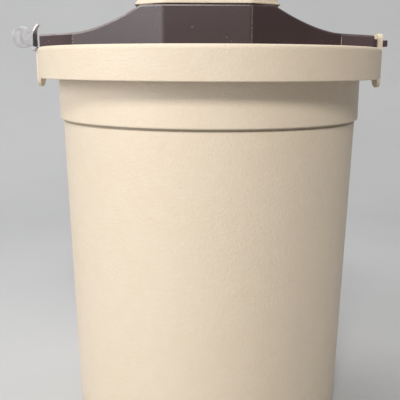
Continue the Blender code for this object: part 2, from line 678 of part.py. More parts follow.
def cap_ring(scale, z, inset=0.0):
    """One level of the motor cover: the shell's plan cut off at its ends, drawn in by a scale and a wall."""
    drop = (FACE_Y - ARM_HALF_WIDTH) / (SEAM_X - FACE_HALF)
    face = (FACE_Y + 0.9) * scale - inset
    middle = (FACE_HALF + 0.3) * scale
    end = CAP_X * scale - inset
    shoulder = (FACE_Y + 0.9) * scale - (CAP_X * scale - middle) * drop * 1.35 - inset
    quarter = [(end, shoulder), (middle, face)]
    half = quarter + [(-x, y) for x, y in reversed(quarter)]
    return [(x + SHELL_X, y, z) for x, y in half + [(x, -y) for x, y in reversed(half)]]


def loft(name, rings, finish=None):
    """A closed solid through rings of the same number of points, capped at both ends."""
    work = bmesh.new()
    rows = [[work.verts.new((x * MM, y * MM, z * MM)) for x, y, z in ring] for ring in rings]
    count = len(rings[0])
    for lower, upper in zip(rows, rows[1:]):
        for i in range(count):
            j = (i + 1) % count
            work.faces.new((lower[i], lower[j], upper[j], upper[i]))
    work.faces.new(list(reversed(rows[0])))
    work.faces.new(rows[-1])
    bmesh.ops.recalc_face_normals(work, faces=work.faces)
    return from_bmesh(name, work, finish)


CAP_LEVELS = [(1.0, 0.0), (0.955, 4.5), (0.915, 12.0), (0.885, 24.0), (0.865, 36.0), (0.83, 42.0), (0.76, 45.2)]


def make_motor_cover():
    """The cover over the motor: a flared foot, drawn-in walls and a shallow domed top, with air slots."""
    foot = DECK_Z + GAP
    outer = [cap_ring(scale, foot + rise) for scale, rise in CAP_LEVELS]
    cover = loft("motor_cover", outer, ALMOND)
    inner = [cap_ring(scale, foot + rise - CAP_WALL, CAP_WALL) for scale, rise in CAP_LEVELS]
    cut(cover, loft("cover_hollow", inner))
    for row in range(6):
        z = foot + 12.0 + row * 4.0
        cut(cover, box("vent", (-90, -22, z), (90, 22, z + 1.8)))
    for column in range(7):
        x = SHELL_X + (column - 3) * 7.0
        cut(cover, box("rear_vent", (x - 1.0, 35, foot + 12.0), (x + 1.0, 70, foot + 34.0)))
    for x, y in cap_screw_places():
        join(cover, cone("cover_post", (x, y), DECK_Z + 4.4, foot + 44.0, 4.9, 4.9, 12))
        cut(cover, cone("cover_screw_hole", (x, y), DECK_Z + 2.0, foot + 50.0, 1.8, 1.8, 8))
        cut(cover, cone("cover_screw_seat", (x, y), foot + 38.0, foot + 50.0, 3.7, 3.7, 14))
    smooth(cover, 20.0)
    for number, (x, y) in enumerate(cap_screw_places(), 1):
        pan_screw(f"cover_screw_{number}", (x, y), foot + 38.0 + GAP, -1, 37.0)


def make_gland():
    """The cord's entry: a flanged bush in the rear wall, with nothing through it."""
    outer_y, inner_y = FACE_Y + GAP, FACE_Y - SHELL_WALL - GAP
    gland = rod("cord_gland", (GLAND_X, inner_y - 1.6, GLAND_Z), (GLAND_X, outer_y + 2.2, GLAND_Z), 5.0, 16, BLACK)
    join(gland, rod("flange", (GLAND_X, outer_y, GLAND_Z), (GLAND_X, outer_y + 1.8, GLAND_Z), 7.6, 16))
    join(gland, rod("snap", (GLAND_X, inner_y - 1.5, GLAND_Z), (GLAND_X, inner_y, GLAND_Z), 6.2, 16))
    cut(gland, rod("gland_bore", (GLAND_X, inner_y - 5, GLAND_Z), (GLAND_X, outer_y + 5, GLAND_Z), 3.2, 16))
    return smooth(gland, 30.0)


# ------------------------------------------------------------------ motor

def make_motor():
    """A shaded-pole motor: laminated frame with the rotor in one limb and the coil round the other."""
    mx, my = MOTOR_AT
    right, left = mx + 20.0, mx - 45.0
    top, bottom = my + 22.5, my - 22.5
    frame = [(left, bottom), (right, bottom), (right, top), (left, top)]
    window = [
        (left + 11.0, bottom + 12.0), (mx - 17.0, bottom + 12.0), (mx - 17.0, top - 12.0), (left + 11.0, top - 12.0),
    ]
    core = prism("stator_core", [frame, window, circle(BORE_R, 32, MOTOR_AT)], CORE_LOW, CORE_TOP, "Z", LAMINATE)
    for x, y in motor_bolt_places():
        cut(core, cone("core_bolt_hole", (x, y), CORE_LOW - 2, CORE_TOP + 2, 1.9, 1.9, 8))

    limb_low, limb_high = bottom + 12.0 + GAP, top - 12.0 - GAP
    bobbin = box(
        "coil_bobbin", (left - 7.0, limb_low, CORE_LOW - 6.0), (left + 18.0, limb_high, CORE_TOP + 5.6), IVORY
    )
    belly = [
        ((left - 9.0, limb_low + 1.5, CORE_LOW - 9.0), (left - 2.2, limb_high - 1.5, CORE_TOP + 9.0)),
        ((left + 13.2, limb_low + 1.5, CORE_LOW - 9.0), (left + 22.0, limb_high - 1.5, CORE_TOP + 9.0)),
        ((left - 9.0, limb_low + 1.5, CORE_LOW - 9.0), (left + 22.0, limb_high - 1.5, CORE_LOW - 2.2)),
        ((left - 9.0, limb_low + 1.5, CORE_TOP + 2.2), (left + 22.0, limb_high - 1.5, CORE_TOP + 9.0)),
    ]
    for low, high in belly:
        cut(bobbin, box("winding_space", low, high))
    cut(bobbin, box("limb_space", (left - GAP, limb_low - 5, CORE_LOW - GAP),
                    (left + 11.0 + GAP, limb_high + 5, CORE_TOP + GAP)))

    wound = box(
        "stator_coil", (left - 6.4, limb_low + 1.8, CORE_LOW - 5.4),
        (left + 17.4, limb_high - 1.8, CORE_TOP + 5.0), COPPER,
    )
    cut(wound, box("coil_space", (left - 2.2 - GAP, limb_low - 5, CORE_LOW - 2.2 - GAP),
                   (left + 13.2 + GAP, limb_high + 5, CORE_TOP + 2.2 + GAP)))

    rotor = cone("rotor", MOTOR_AT, CORE_LOW, CORE_TOP, ROTOR_R, ROTOR_R, 24, LAMINATE)
    for z_low, z_high in ((CORE_LOW - 1.6, CORE_LOW + 0.5), (CORE_TOP - 0.5, CORE_TOP + 1.6)):
        join(rotor, cone("end_ring", MOTOR_AT, z_low, z_high, ROTOR_R - 1.2, ROTOR_R - 1.2, 24))
    cut(rotor, cone("rotor_bore", MOTOR_AT, CORE_LOW - 4, CORE_TOP + 4, SHAFT_R + 0.15, SHAFT_R + 0.15, 14))
    cone("rotor_shaft", MOTOR_AT, 319.6, 369.0, SHAFT_R, SHAFT_R, 14, ZINC)

    for name, low in (("lower_bearing_bracket", 332.4), ("upper_bearing_bracket", 358.2)):
        strap = rounded_bar(mx, my, 24.5, 6.5)
        bracket = prism(name, [strap], low, low + 1.6, "Z", ZINC)
        cut(bracket, cone("bush_hole", MOTOR_AT, low - 1, low + 3, 4.6, 4.6, 16))
        for x, y in motor_bolt_places():
            cut(bracket, cone("bolt_hole", (x, y), low - 1, low + 3, 1.9, 1.9, 8))
    for name, low, high in (("lower_bush", 330.2, 335.0), ("upper_bush", 357.2, 361.0)):
        bush = cone(name, MOTOR_AT, low, high, 4.3, 4.3, 16, BRONZE)
        cut(bush, cone("bush_bore", MOTOR_AT, low - 1, high + 1, SHAFT_R + GAP, SHAFT_R + GAP, 14))

    for number, (x, y) in enumerate(motor_bolt_places(), 1):
        motor_bolt(number, (x, y))
    make_fan()
    for piece in (rotor, wound, bobbin, core):
        smooth(piece, 30.0)


def rounded_bar(mx, my, half_length, half_width):
    """A strap with round ends that lies along Y."""
    top = arc((mx, my + half_length - half_width), half_width, 0.0, 180.0, 7)
    return top + arc((mx, my - half_length + half_width), half_width, 180.0, 360.0, 7)


def motor_bolt(number, at):
    """A through bolt with a hexagonal head on the upper bracket, and the two spacers it clamps."""
    bolt = cone(f"motor_bolt_{number}", at, 360.1, 362.4, 3.2, 3.2, 6, ZINC)
    join(bolt, cone("bolt_shank", at, DECK_Z - 6.0, 360.6, 1.5, 1.5, 8))
    spacers = (("low", DECK_Z + GAP, 332.1), ("middle", 334.3, CORE_LOW - GAP), ("top", CORE_TOP + GAP, 357.9))
    for name, low, high in spacers:
        tube = cone(f"bolt_{number}_spacer_{name}", at, low, high, 3.4, 3.4, 12, ZINC)
        cut(tube, cone("spacer_bore", at, low - 1, high + 1, 1.9, 1.9, 8))


def make_fan():
    """A cooling fan on the top of the shaft: a hub, a thin disc and pitched blades."""
    mx, my = MOTOR_AT
    fan = cone("cooling_fan", MOTOR_AT, 362.0, 363.4, 13.0, 13.0, 24, ALUMINIUM)
    join(fan, cone("fan_hub", MOTOR_AT, 361.6, 368.6, 4.0, 4.0, 12))
    blades = 8
    for number in range(blades):
        turn = 2 * math.pi * number / blades
        blade = box("blade", (-5.4, -0.6, -2.8), (5.4, 0.6, 2.8))
        middle = Vector((mx + 12.0 * math.cos(turn), my + 12.0 * math.sin(turn), 365.4)) * MM
        blade.matrix_world = (
            Matrix.Translation(middle) @ Matrix.Rotation(turn, 4, "Z") @ Matrix.Rotation(math.radians(25.0), 4, "X")
        )
        join(fan, blade)
    cut(fan, cone("fan_bore", MOTOR_AT, 358.0, 372.0, SHAFT_R + 0.15, SHAFT_R + 0.15, 12))
    return smooth(fan, 30.0)


# ------------------------------------------------------------------ latch

def ribbon(points, thickness):
    """A strip of even thickness along a line of (x, z) points, as one outline."""
    half = thickness / 2
    outer, inner = [], []
    for i, (x, z) in enumerate(points):
        before = points[max(0, i - 1)]
        after = points[min(len(points) - 1, i + 1)]
        dx, dz = after[0] - before[0], after[1] - before[1]
        length = math.hypot(dx, dz)
        nx, nz = -dz / length, dx / length
        outer.append((x + nx * half, z + nz * half))
        inner.append((x - nx * half, z - nz * half))
    return outer + list(reversed(inner))


def make_latch():
    """A steel hold-down lever: a knuckle, a blade that curves over into a finger, and a round thumb pad."""
    bow = [(-1.2, 0.3), (-1.4, 6.0), (-1.5, 9.6), (-1.3, 12.6), (-0.6, 15.2), (0.5, 17.4), (2.0, 19.3)]
    line = [(LATCH_X + x, LATCH_Z + z) for x, z in bow]
    lever = prism("latch_lever", [ribbon(line, STEEL)], -LATCH_HALF, LATCH_HALF, "Y", ZINC)
    join(lever, rod("knuckle", (LATCH_X, -KNUCKLE_HALF, LATCH_Z), (LATCH_X, KNUCKLE_HALF, LATCH_Z), KNUCKLE_R, 16))
    pad_at = (LATCH_X - 9.7, LATCH_Z + 9.0)
    low_neck, high_neck = (LATCH_X - 1.3, LATCH_Z + 2.9), (LATCH_X - 1.4, LATCH_Z + 12.3)
    pad = [low_neck, high_neck] + arc(pad_at, PAD_R, 45.0, 285.0, 19)
    join(lever, prism("thumb_pad", [pad], -LATCH_HALF + 0.01, -LATCH_HALF + STEEL, "Y"))
    cut(lever, rod("knuckle_bore", (LATCH_X, -10, LATCH_Z), (LATCH_X, 10, LATCH_Z), LATCH_PIN_R + 0.2, 10))
    for low, high in ((-8.0, -KNUCKLE_HALF - 0.01), (KNUCKLE_HALF + 0.01, 8.0)):
        cut(lever, box("knuckle_relief", (LATCH_X - 3.5, low, LATCH_Z - 3), (LATCH_X + 3.5, high, LATCH_Z + 2.6)))
    smooth(lever, 30.0)

    leaf_in = -RECESS_X - FIT
    leaf_out = leaf_in - LEAF
    low_end = RIVETS_Z[1] - 4.0
    leaf = box("latch_bracket", (leaf_out, -LEAF_HALF, low_end), (leaf_in, LEAF_HALF, LATCH_Z - 4.5), ZINC)
    neck = [
        (leaf_in, LATCH_Z - 5.5), (leaf_in, LATCH_Z - 3.6), (LATCH_X + 1.3, LATCH_Z + 1.2),
        (LATCH_X - 0.2, LATCH_Z - 0.4), (LATCH_X + 0.2, LATCH_Z - 1.7), (leaf_out, LATCH_Z - 5.5),
    ]
    clearance = KNUCKLE_HALF + GAP
    for side in (-1, 1):
        low, high = sorted((side * clearance, side * LEAF_HALF))
        join(leaf, prism("leaf_neck", [neck], low + 0.01, high - 0.01, "Y"))
        join(leaf, rod("leaf_knuckle", (LATCH_X, low, LATCH_Z), (LATCH_X, high, LATCH_Z), KNUCKLE_R, 16))
    cut(leaf, rod("leaf_bore", (LATCH_X, -12, LATCH_Z), (LATCH_X, 12, LATCH_Z), LATCH_PIN_R + 0.2, 10))
    for z in RIVETS_Z:
        cut(leaf, rod("leaf_rivet_hole", (-EAR_X - 4, 0, z), (-RECESS_X + 4, 0, z), 1.9, 12))
    smooth(leaf, 30.0)

    reach = LEAF_HALF + 0.3
    pin = rod("latch_pin", (LATCH_X, -reach, LATCH_Z), (LATCH_X, reach, LATCH_Z), LATCH_PIN_R, 10, ZINC)
    for side in (-1, 1):
        low, high = sorted((side * (LEAF_HALF + 0.2), side * (LEAF_HALF + 0.9)))
        join(pin, rod("pin_head", (LATCH_X, low, LATCH_Z), (LATCH_X, high, LATCH_Z), 1.5, 12))
    smooth(pin, 30.0)

    for number, z in enumerate(RIVETS_Z, 1):
        face = leaf_out - FIT
        rivet = rod(f"bracket_rivet_{number}", (-EAR_X, 0, z), (face, 0, z), 3.0, 14, ZINC)
        join(rivet, rod("rivet_shank", (face - 0.3, 0, z), (-RIM_R + 4.2, 0, z), 1.6, 10))
        smooth(rivet, 30.0)


make_tub()
make_canister()
make_lid()
make_dasher()
make_scrapers()
make_gears()
make_housing()
make_plate()
make_motor_cover()
make_gland()
make_motor()
make_latch()
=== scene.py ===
"""Looks for the motor-driven bucket ice-cream freezer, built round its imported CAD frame.

The frame's own coordinates are used throughout: +Z up, the front towards -Y, the latch towards -X.
Dimensions below are in millimetres; the helpers turn them into metres.
"""

import math

import bmesh
import bpy
from mathutils import Matrix, Vector


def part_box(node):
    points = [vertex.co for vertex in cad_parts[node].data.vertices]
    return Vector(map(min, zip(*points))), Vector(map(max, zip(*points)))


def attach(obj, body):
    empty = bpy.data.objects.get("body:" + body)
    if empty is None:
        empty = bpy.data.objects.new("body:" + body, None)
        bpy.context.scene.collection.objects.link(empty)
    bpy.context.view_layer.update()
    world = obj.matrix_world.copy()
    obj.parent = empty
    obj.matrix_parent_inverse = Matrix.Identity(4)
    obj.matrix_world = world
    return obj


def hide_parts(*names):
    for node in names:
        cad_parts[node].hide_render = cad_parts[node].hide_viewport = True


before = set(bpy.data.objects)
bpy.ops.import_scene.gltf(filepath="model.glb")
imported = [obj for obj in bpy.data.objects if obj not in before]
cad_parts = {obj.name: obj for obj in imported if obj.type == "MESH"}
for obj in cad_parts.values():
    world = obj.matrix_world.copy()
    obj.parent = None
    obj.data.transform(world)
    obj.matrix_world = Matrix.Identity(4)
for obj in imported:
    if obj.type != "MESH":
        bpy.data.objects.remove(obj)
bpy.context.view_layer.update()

MM = 0.001
GAP = 0.3

# ---- tub ----
RIM_Z = 300.0
RIM_R = 135.0
SKIRT_Z = 276.8
SKIRT_WALL = 2.8
BAND_R = 119.4
BAND_Z = 245.8
WALL_TOP_R = 116.9
WALL_LOW_R = 110.4
WALL = 3.0
FLOOR_Z = 9.0
FOOT_R = 107.5
EAR_X = 137.3
EAR_WALL = 4.0
EAR_HALF = 9.5
EAR_TOP = 311.8
EAR_LOW = 269.5
WINDOW_HALF = 6.2
WINDOW_TOP = 307.4
HOOK_REACH = 2.5
EAR_FOOT_ROUND = 8.6
EAR_FOOT_TIP = 1.9
EAR_FOOT_ROOT = 2.9
DRAIN_Z = 222.0
DRAIN_R = 5.0
RIVET_HOLE_R = 1.9

# ---- can and lid ----
CAN_R = 78.0
CAN_WALL = 1.0
CAN_LOW = 14.3
CAN_TOP = 256.0
LID_TOP = 260.5
NECK_R = 17.0
BOSS_LOW_Z = 283.0
BOSS_TOP_Z = 296.0
BOSS_LOW_R = 16.5
BOSS_TOP_R = 14.0

# ---- motor head ----
SHELL_X = -2.0
ARM_HALF_LENGTH = 131.0
ARM_HALF_WIDTH = 16.5
SEAM_X = 105.0
FACE_HALF = 32.0
FACE_Y = 57.0
DECK_X = 49.0
CAP_X = 54.0
SHELL_LOW = RIM_Z + GAP
ARM_END_Z = 310.0
ARM_SEAM_Z = 311.5
DECK_Z = 330.0
SHELL_WALL = 2.5
SWOOP_POWER = 1.65
POCKET_HALF = 10.5
POCKET_DEPTH = 4.8
POCKET_Z = 306.7
CAP_WALL = 2.2
CAP_HEIGHT = 45.2
CAP_CORNER = 6.5
SCREW_HOLE_R = 1.8
TILT_X = 132.0
TAB_HALF = 5.5
TAB_LOW = 301.7
TAB_END = 142.3

# ---- latch ----
LATCH_X = -138.9
LATCH_Z = 299.0
LATCH_HALF = 7.0
LATCH_PILLAR_TOP = 295.5
LATCH_PIN_R = 0.9
KNUCKLE_R = 1.9
KNUCKLE_HALF = 4.2
STEEL = 1.3
PAD_R = 8.3
LEAF = 1.0
LEAF_HALF = 8.0
LEAF_FIT = 0.15
RECESS_X = 135.4
RIVETS_Z = (RIM_Z - 9.0, RIM_Z - 20.0)

# ---- camera and lights: metres and watts, the pitch in degrees and the roll in radians ----
LENS = 59.94
CAMERA_AT = (-0.00689, -0.5509, 0.2872)
CAMERA_PITCH = 78.51
CAMERA_ROLL = 0.0035
LIGHTS = [
    # name, place, aimed at, size, power, colour
    ("key", (-1.42, -0.78, 1.02), (0.0, 0.0, 0.24), (0.80, 0.80), 15.0, (0.985, 0.990, 1.0)),
    ("window", (-1.40, -1.06, 0.42), (0.0, 0.0, 0.30), (0.40, 0.40), 5.0, (0.97, 0.985, 1.0)),
    ("front", (-0.10, -1.50, 1.50), (0.0, 0.0, 0.18), (0.55, 0.40), 24.0, (1.0, 0.968, 0.925)),
    ("fill", (1.25, -1.40, 1.00), (0.0, 0.0, 0.20), (0.90, 0.90), 0.6, (1.0, 0.950, 0.89)),
    ("top", (-0.40, 0.40, 1.90), (0.0, 0.0, 0.30), (0.70, 0.60), 9.0, (1.0, 0.990, 0.97)),
    ("wall", (0.0, 0.75, 2.40), (0.0, 1.60, 0.90), (3.00, 0.60), 18.0, (1.0, 1.0, 1.0)),
]


def middle_of(node):
    """Centre of a CAD node's box in the plane of the floor, in millimetres."""
    low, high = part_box(node)
    return ((low.x + high.x) / 2 / MM, (low.y + high.y) / 2 / MM)


FIRST_AT = middle_of("first_gear_pin")
SECOND_AT = middle_of("second_gear_pin")
MOTOR_AT = middle_of("rotor_shaft")
BOLTS_AT = [middle_of("motor_bolt_1"), middle_of("motor_bolt_2")]
PLATE_SCREWS_AT = [middle_of(f"plate_screw_{i}") for i in (1, 2, 3, 4)]
COVER_SCREWS_AT = [middle_of("cover_screw_1"), middle_of("cover_screw_2")]
GLAND_AT = ((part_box("cord_gland")[0].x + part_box("cord_gland")[1].x) / 2 / MM,
            (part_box("cord_gland")[0].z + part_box("cord_gland")[1].z) / 2 / MM)


# ------------------------------------------------------------------ material helpers

class Finish:
    """A procedural material: helpers that add nodes, with one Principled shader at the end."""

    def __init__(self, name, roughness=0.5, metallic=0.0, **constants):
        self.material = bpy.data.materials.new(name)
        self.material.use_nodes = True
        self.tree = self.material.node_tree
        self.shader = self.tree.nodes["Principled BSDF"]
        self.shader.inputs["Roughness"].default_value = roughness
        self.shader.inputs["Metallic"].default_value = metallic
        for socket, value in constants.items():
            self.shader.inputs[socket.replace("_", " ")].default_value = value
        self.coords = self.tree.nodes.new("ShaderNodeTexCoord").outputs["Object"]

    def link(self, source, target):
        self.tree.links.new(source, target)

    def stretched(self, scale):
        """The object's own coordinates, stretched by a scale on each axis."""
        node = self.tree.nodes.new("ShaderNodeMapping")
        node.inputs["Scale"].default_value = scale
        self.link(self.coords, node.inputs["Vector"])
        return node.outputs["Vector"]

    def noise(self, scale, detail=4.0, roughness=0.55, stretch=None, distortion=0.0):
        node = self.tree.nodes.new("ShaderNodeTexNoise")
        node.inputs["Scale"].default_value = scale
        node.inputs["Detail"].default_value = detail
        node.inputs["Roughness"].default_value = roughness
        node.inputs["Distortion"].default_value = distortion
        self.link(self.stretched(stretch) if stretch else self.coords, node.inputs["Vector"])
        return node.outputs["Fac"]

    def cells(self, scale):
        node = self.tree.nodes.new("ShaderNodeTexVoronoi")
        node.inputs["Scale"].default_value = scale
        self.link(self.coords, node.inputs["Vector"])
        return node.outputs["Distance"]

    def waves(self, scale, direction="Z", distortion=0.0):
        node = self.tree.nodes.new("ShaderNodeTexWave")
        node.bands_direction = direction
        node.inputs["Scale"].default_value = scale
        node.inputs["Distortion"].default_value = distortion
        self.link(self.coords, node.inputs["Vector"])
        return node.outputs["Fac"]

    def remap(self, value, low, high, to_low=0.0, to_high=1.0):
        node = self.tree.nodes.new("ShaderNodeMapRange")
        node.clamp = True
        for i, number in enumerate((low, high, to_low, to_high), 1):
            node.inputs[i].default_value = number
        self.link(value, node.inputs[0])
        return node.outputs[0]

    def math(self, operation, first, second):
        node = self.tree.nodes.new("ShaderNodeMath")
        node.operation = operation
        for i, value in enumerate((first, second)):
            if isinstance(value, (int, float)):
                node.inputs[i].default_value = value
            else:
                self.link(value, node.inputs[i])
        return node.outputs[0]

    def times(self, first, second):
        """One value times another."""
        return self.math("MULTIPLY", first, second)

    def axis(self, name):
        """One of the object's own coordinates, in metres."""
        node = self.tree.nodes.new("ShaderNodeSeparateXYZ")
        self.link(self.coords, node.inputs[0])
        return node.outputs[name]

    def edges(self, low=0.52, high=0.60):
        """How strongly a point lies on an outward edge."""
        node = self.tree.nodes.new("ShaderNodeNewGeometry")
        return self.remap(node.outputs["Pointiness"], low, high)

    def blend(self, factor, first, second):
        node = self.tree.nodes.new("ShaderNodeMix")
        node.data_type = "RGBA"
        for socket, value in zip((0, 6, 7), (factor, first, second)):
            if isinstance(value, (int, float)):
                node.inputs[socket].default_value = value
            elif isinstance(value, tuple):
                node.inputs[socket].default_value = (*value, 1.0)
            else:
                self.link(value, node.inputs[socket])
        return node.outputs[2]

    def colour(self, source):
        self.link(source, self.shader.inputs["Base Color"])

    def rough(self, source):
        self.link(source, self.shader.inputs["Roughness"])

    def bumps(self, *layers):
        """Height layers (value, distance in mm, strength), one on top of the other."""
        below = None
        for height, distance, strength in layers:
            node = self.tree.nodes.new("ShaderNodeBump")
            node.inputs["Distance"].default_value = distance * MM
            node.inputs["Strength"].default_value = strength
            self.link(height, node.inputs["Height"])
            if below is not None:
                self.link(below, node.inputs["Normal"])
            below = node.outputs["Normal"]
        self.link(below, self.shader.inputs["Normal"])


def almond_plastic(name, tint=1.0, groove=False):
    """Aged cream polypropylene with a fine moulded grain, faint mottling and a few worn pale specks.

    The tub has painted shade in the groove under its band, and is painted darker towards the bottom of its
    foot.
    """
    finish = Finish(name, Specular_IOR_Level=0.42)
    base = (0.735 * tint, 0.625 * tint, 0.490 * tint)
    warm = (0.705 * tint, 0.590 * tint, 0.430 * tint)
    pale = (0.790 * tint, 0.700 * tint, 0.590 * tint)
    clouds = finish.remap(finish.noise(9.0, 5.0, 0.6), 0.35, 0.68)
    colour = finish.blend(finish.times(clouds, 0.42), base, warm)
    mottle = finish.remap(finish.noise(85.0, 6.0, 0.65), 0.42, 0.72)
    colour = finish.blend(finish.times(mottle, 0.25), colour, pale)
    grains = finish.noise(1250.0, 2.0, 0.5)
    colour = finish.blend(finish.remap(grains, 0.35, 0.7, 0.0, 0.12), colour, pale)
    pebbles = finish.remap(finish.noise(620.0, 3.0, 0.55), 0.38, 0.66, 0.0, 0.12)
    colour = finish.blend(pebbles, colour, warm)
    specks = finish.remap(finish.cells(150.0), 0.055, 0.03)
    rare = finish.remap(finish.noise(24.0, 2.0, 0.5), 0.60, 0.66)
    colour = finish.blend(finish.times(specks, rare), colour, (0.93, 0.90, 0.83))
    spots = finish.remap(finish.cells(95.0), 0.05, 0.02)
    stains = finish.times(spots, finish.remap(finish.noise(13.0, 2.0, 0.5), 0.60, 0.68))
    colour = finish.blend(finish.times(stains, 0.55), colour, (0.36, 0.27, 0.17))
    colour = finish.blend(finish.times(finish.edges(0.515, 0.60), 0.35), colour, pale)
    if groove:
        # painted shade: a dark line in the recess under the band, where the band's step shades the wall
        height = finish.axis("Z")
        above = finish.remap(height, (BAND_Z - 2.6) * MM, (BAND_Z - 1.6) * MM)
        below = finish.remap(height, (BAND_Z + 0.4) * MM, (BAND_Z - 0.3) * MM)
        line = finish.times(above, below)
        colour = finish.blend(finish.times(line, 0.55), colour, (0.20, 0.15, 0.10))
        # darker towards the bottom of the foot
        foot = finish.remap(height, 0.030, 0.004, 0.0, 0.25)
        colour = finish.blend(foot, colour, (0.45, 0.36, 0.25))
    finish.colour(colour)
    finish.rough(finish.remap(finish.noise(120.0, 4.0, 0.6), 0.3, 0.75, 0.40, 0.58))
    peel = finish.noise(430.0, 3.0, 0.55)
    ripple = finish.noise(30.0, 2.0, 0.5)
    finish.bumps((ripple, 0.35, 0.25), (peel, 0.33, 0.9), (grains, 0.22, 0.9))
    return finish.material


def brown_plastic(name, seams=False, shoulder_highlight=0.0):
    """Dark brown plastic with a fine moulded grain, some dust, specks and short scratches.

    The head's shoulders carry a painted highlight, strongest on the lit side towards the latch, and the
    shell's seams and its right front corner are drawn as thin broken lines.
    """
    finish = Finish(name, Specular_IOR_Level=0.78)
    base = (0.047, 0.0245, 0.0275)
    dusty = (0.092, 0.057, 0.065)
    clouds = finish.remap(finish.noise(34.0, 6.0, 0.65), 0.38, 0.70)
    colour = finish.blend(finish.times(clouds, 0.10), base, dusty)
    grains = finish.noise(1300.0, 3.0, 0.6)
    colour = finish.blend(finish.remap(grains, 0.42, 0.72, 0.0, 0.36), colour, dusty)
    # painted highlight along the shoulders, strongest on the latch side where the light falls
    if shoulder_highlight:
        highlight_breakup = finish.remap(finish.noise(120.0, 5.0, 0.7), 0.30, 0.62, 0.35 * shoulder_highlight, shoulder_highlight)
        lit_side = finish.remap(finish.axis("X"), 0.030, -0.030, 0.15, 1.0)
        colour = finish.blend(finish.times(highlight_breakup, lit_side), colour, (0.46, 0.40, 0.40))
    spots = finish.remap(finish.cells(210.0), 0.075, 0.04)
    specks = finish.times(spots, finish.remap(finish.noise(33.0, 2.0, 0.5), 0.56, 0.62))
    colour = finish.blend(finish.times(specks, 0.8), colour, (0.50, 0.45, 0.40))
    streaks = finish.noise(60.0, 2.0, 0.5, stretch=(0.8, 1.0, 4.0), distortion=0.6)
    scratch = finish.remap(streaks, 0.735, 0.745)
    colour = finish.blend(finish.times(scratch, 0.35), colour, (0.30, 0.26, 0.24))
    if seams:
        away = finish.math("ABSOLUTE", finish.math("SUBTRACT", finish.axis("X"), SHELL_X * MM), 0.0)
        off = finish.math("ABSOLUTE", finish.math("SUBTRACT", away, SEAM_X * MM), 0.0)
        dots = finish.remap(finish.noise(900.0, 2.0, 0.5), 0.44, 0.52)
        line = finish.times(finish.remap(off, 0.00045, 0.00020), dots)
        colour = finish.blend(finish.times(line, 0.9), colour, (0.46, 0.39, 0.32))
        corner = finish.math("SUBTRACT", finish.axis("X"), (SHELL_X + FACE_HALF) * MM)
        rub = finish.remap(finish.math("ABSOLUTE", corner, 0.0), 0.00055, 0.00025, 0.0, 0.42)
        colour = finish.blend(finish.times(rub, dots), colour, (0.40, 0.34, 0.30))
    finish.colour(colour)
    finish.rough(finish.remap(finish.noise(420.0, 4.0, 0.6), 0.3, 0.75, 0.43, 0.49))
    finish.bumps((finish.noise(760.0, 2.0, 0.5), 0.10, 0.6), (grains, 0.08, 0.8))
    return finish.material


def spun_aluminium(name):
    """Spun aluminium sheet: fine rings up the wall and dull blotches."""
    finish = Finish(name, roughness=0.32, metallic=1.0)
    rings = finish.noise(1.0, 3.0, 0.5, stretch=(4.0, 4.0, 1600.0))
    blotches = finish.remap(finish.noise(22.0, 5.0, 0.65), 0.35, 0.7)
    colour = finish.blend(blotches, (0.78, 0.79, 0.80), (0.62, 0.63, 0.65))
    colour = finish.blend(finish.remap(rings, 0.35, 0.65, 0.0, 0.30), colour, (0.88, 0.88, 0.89))
    finish.colour(colour)
    finish.rough(finish.remap(finish.noise(60.0, 4.0, 0.6), 0.3, 0.7, 0.24, 0.44))
    finish.bumps((rings, 0.03, 0.5), (finish.noise(300.0, 3.0, 0.5), 0.04, 0.2))
    return finish.material


def smooth_plastic(name, colour, deeper, roughness=(0.24, 0.40), specular=0.5):
    """Smooth moulded plastic with slight cloudiness, flow marks and fine scuffs."""
    finish = Finish(name, Specular_IOR_Level=specular)
    flow = finish.remap(finish.noise(18.0, 5.0, 0.6, distortion=0.8), 0.35, 0.7)
    mixed = finish.blend(finish.times(flow, 0.7), colour, deeper)
    scuffs = finish.remap(finish.noise(140.0, 3.0, 0.6, stretch=(1.0, 6.0, 1.0)), 0.60, 0.72, 0.0, 0.35)
    paler = tuple(min(1.0, c * 1.12) for c in colour)
    mixed = finish.blend(scuffs, mixed, paler)
    mixed = finish.blend(finish.times(finish.edges(0.52, 0.6), 0.3), mixed, paler)
    finish.colour(mixed)
    finish.rough(finish.remap(finish.noise(110.0, 4.0, 0.6), 0.3, 0.75, *roughness))
    finish.bumps((finish.noise(240.0, 3.0, 0.5), 0.06, 0.3), (finish.noise(1400.0, 2.0, 0.5), 0.02, 0.3))
    return finish.material


def plated_steel(name, blade_shade=False):
    """Zinc-plated pressed steel gone satin: a fine drawn grain, dull spots and worn bright edges.

    Painted shade darkens the latch blade's inner side, which faces away from the light, from the hinge to
    about two thirds of the way up.
    """
    finish = Finish(name, roughness=0.4, metallic=1.0)
    drawn = finish.noise(260.0, 3.0, 0.6, stretch=(1.0, 1.0, 14.0))
    spots = finish.remap(finish.noise(170.0, 5.0, 0.7), 0.45, 0.70)
    colour = finish.blend(spots, (0.56, 0.55, 0.57), (0.42, 0.41, 0.42))
    colour = finish.blend(finish.remap(drawn, 0.35, 0.65, 0.0, 0.25), colour, (0.64, 0.63, 0.64))
    colour = finish.blend(finish.times(finish.edges(0.52, 0.60), 0.5), colour, (0.80, 0.79, 0.79))
    if blade_shade:
        # painted shade on the blade's inner side, below its upper part
        inner = finish.remap(finish.axis("X"), (LATCH_X - 2.0) * MM, (LATCH_X - 1.0) * MM)
        low = finish.remap(finish.axis("Z"), (LATCH_Z + 16.0) * MM, (LATCH_Z + 11.0) * MM)
        shade_breakup = finish.remap(finish.noise(300.0, 4.0, 0.65), 0.30, 0.60, 0.70, 0.95)
        shade_film = finish.times(finish.times(inner, low), shade_breakup)
        colour = finish.blend(shade_film, colour, (0.055, 0.042, 0.036))
    finish.colour(colour)
    finish.rough(finish.remap(finish.noise(320.0, 4.0, 0.6), 0.3, 0.75, 0.42, 0.60))
    finish.bumps((drawn, 0.006, 0.35), (finish.noise(1100.0, 3.0, 0.6), 0.010, 0.35))
    return finish.material


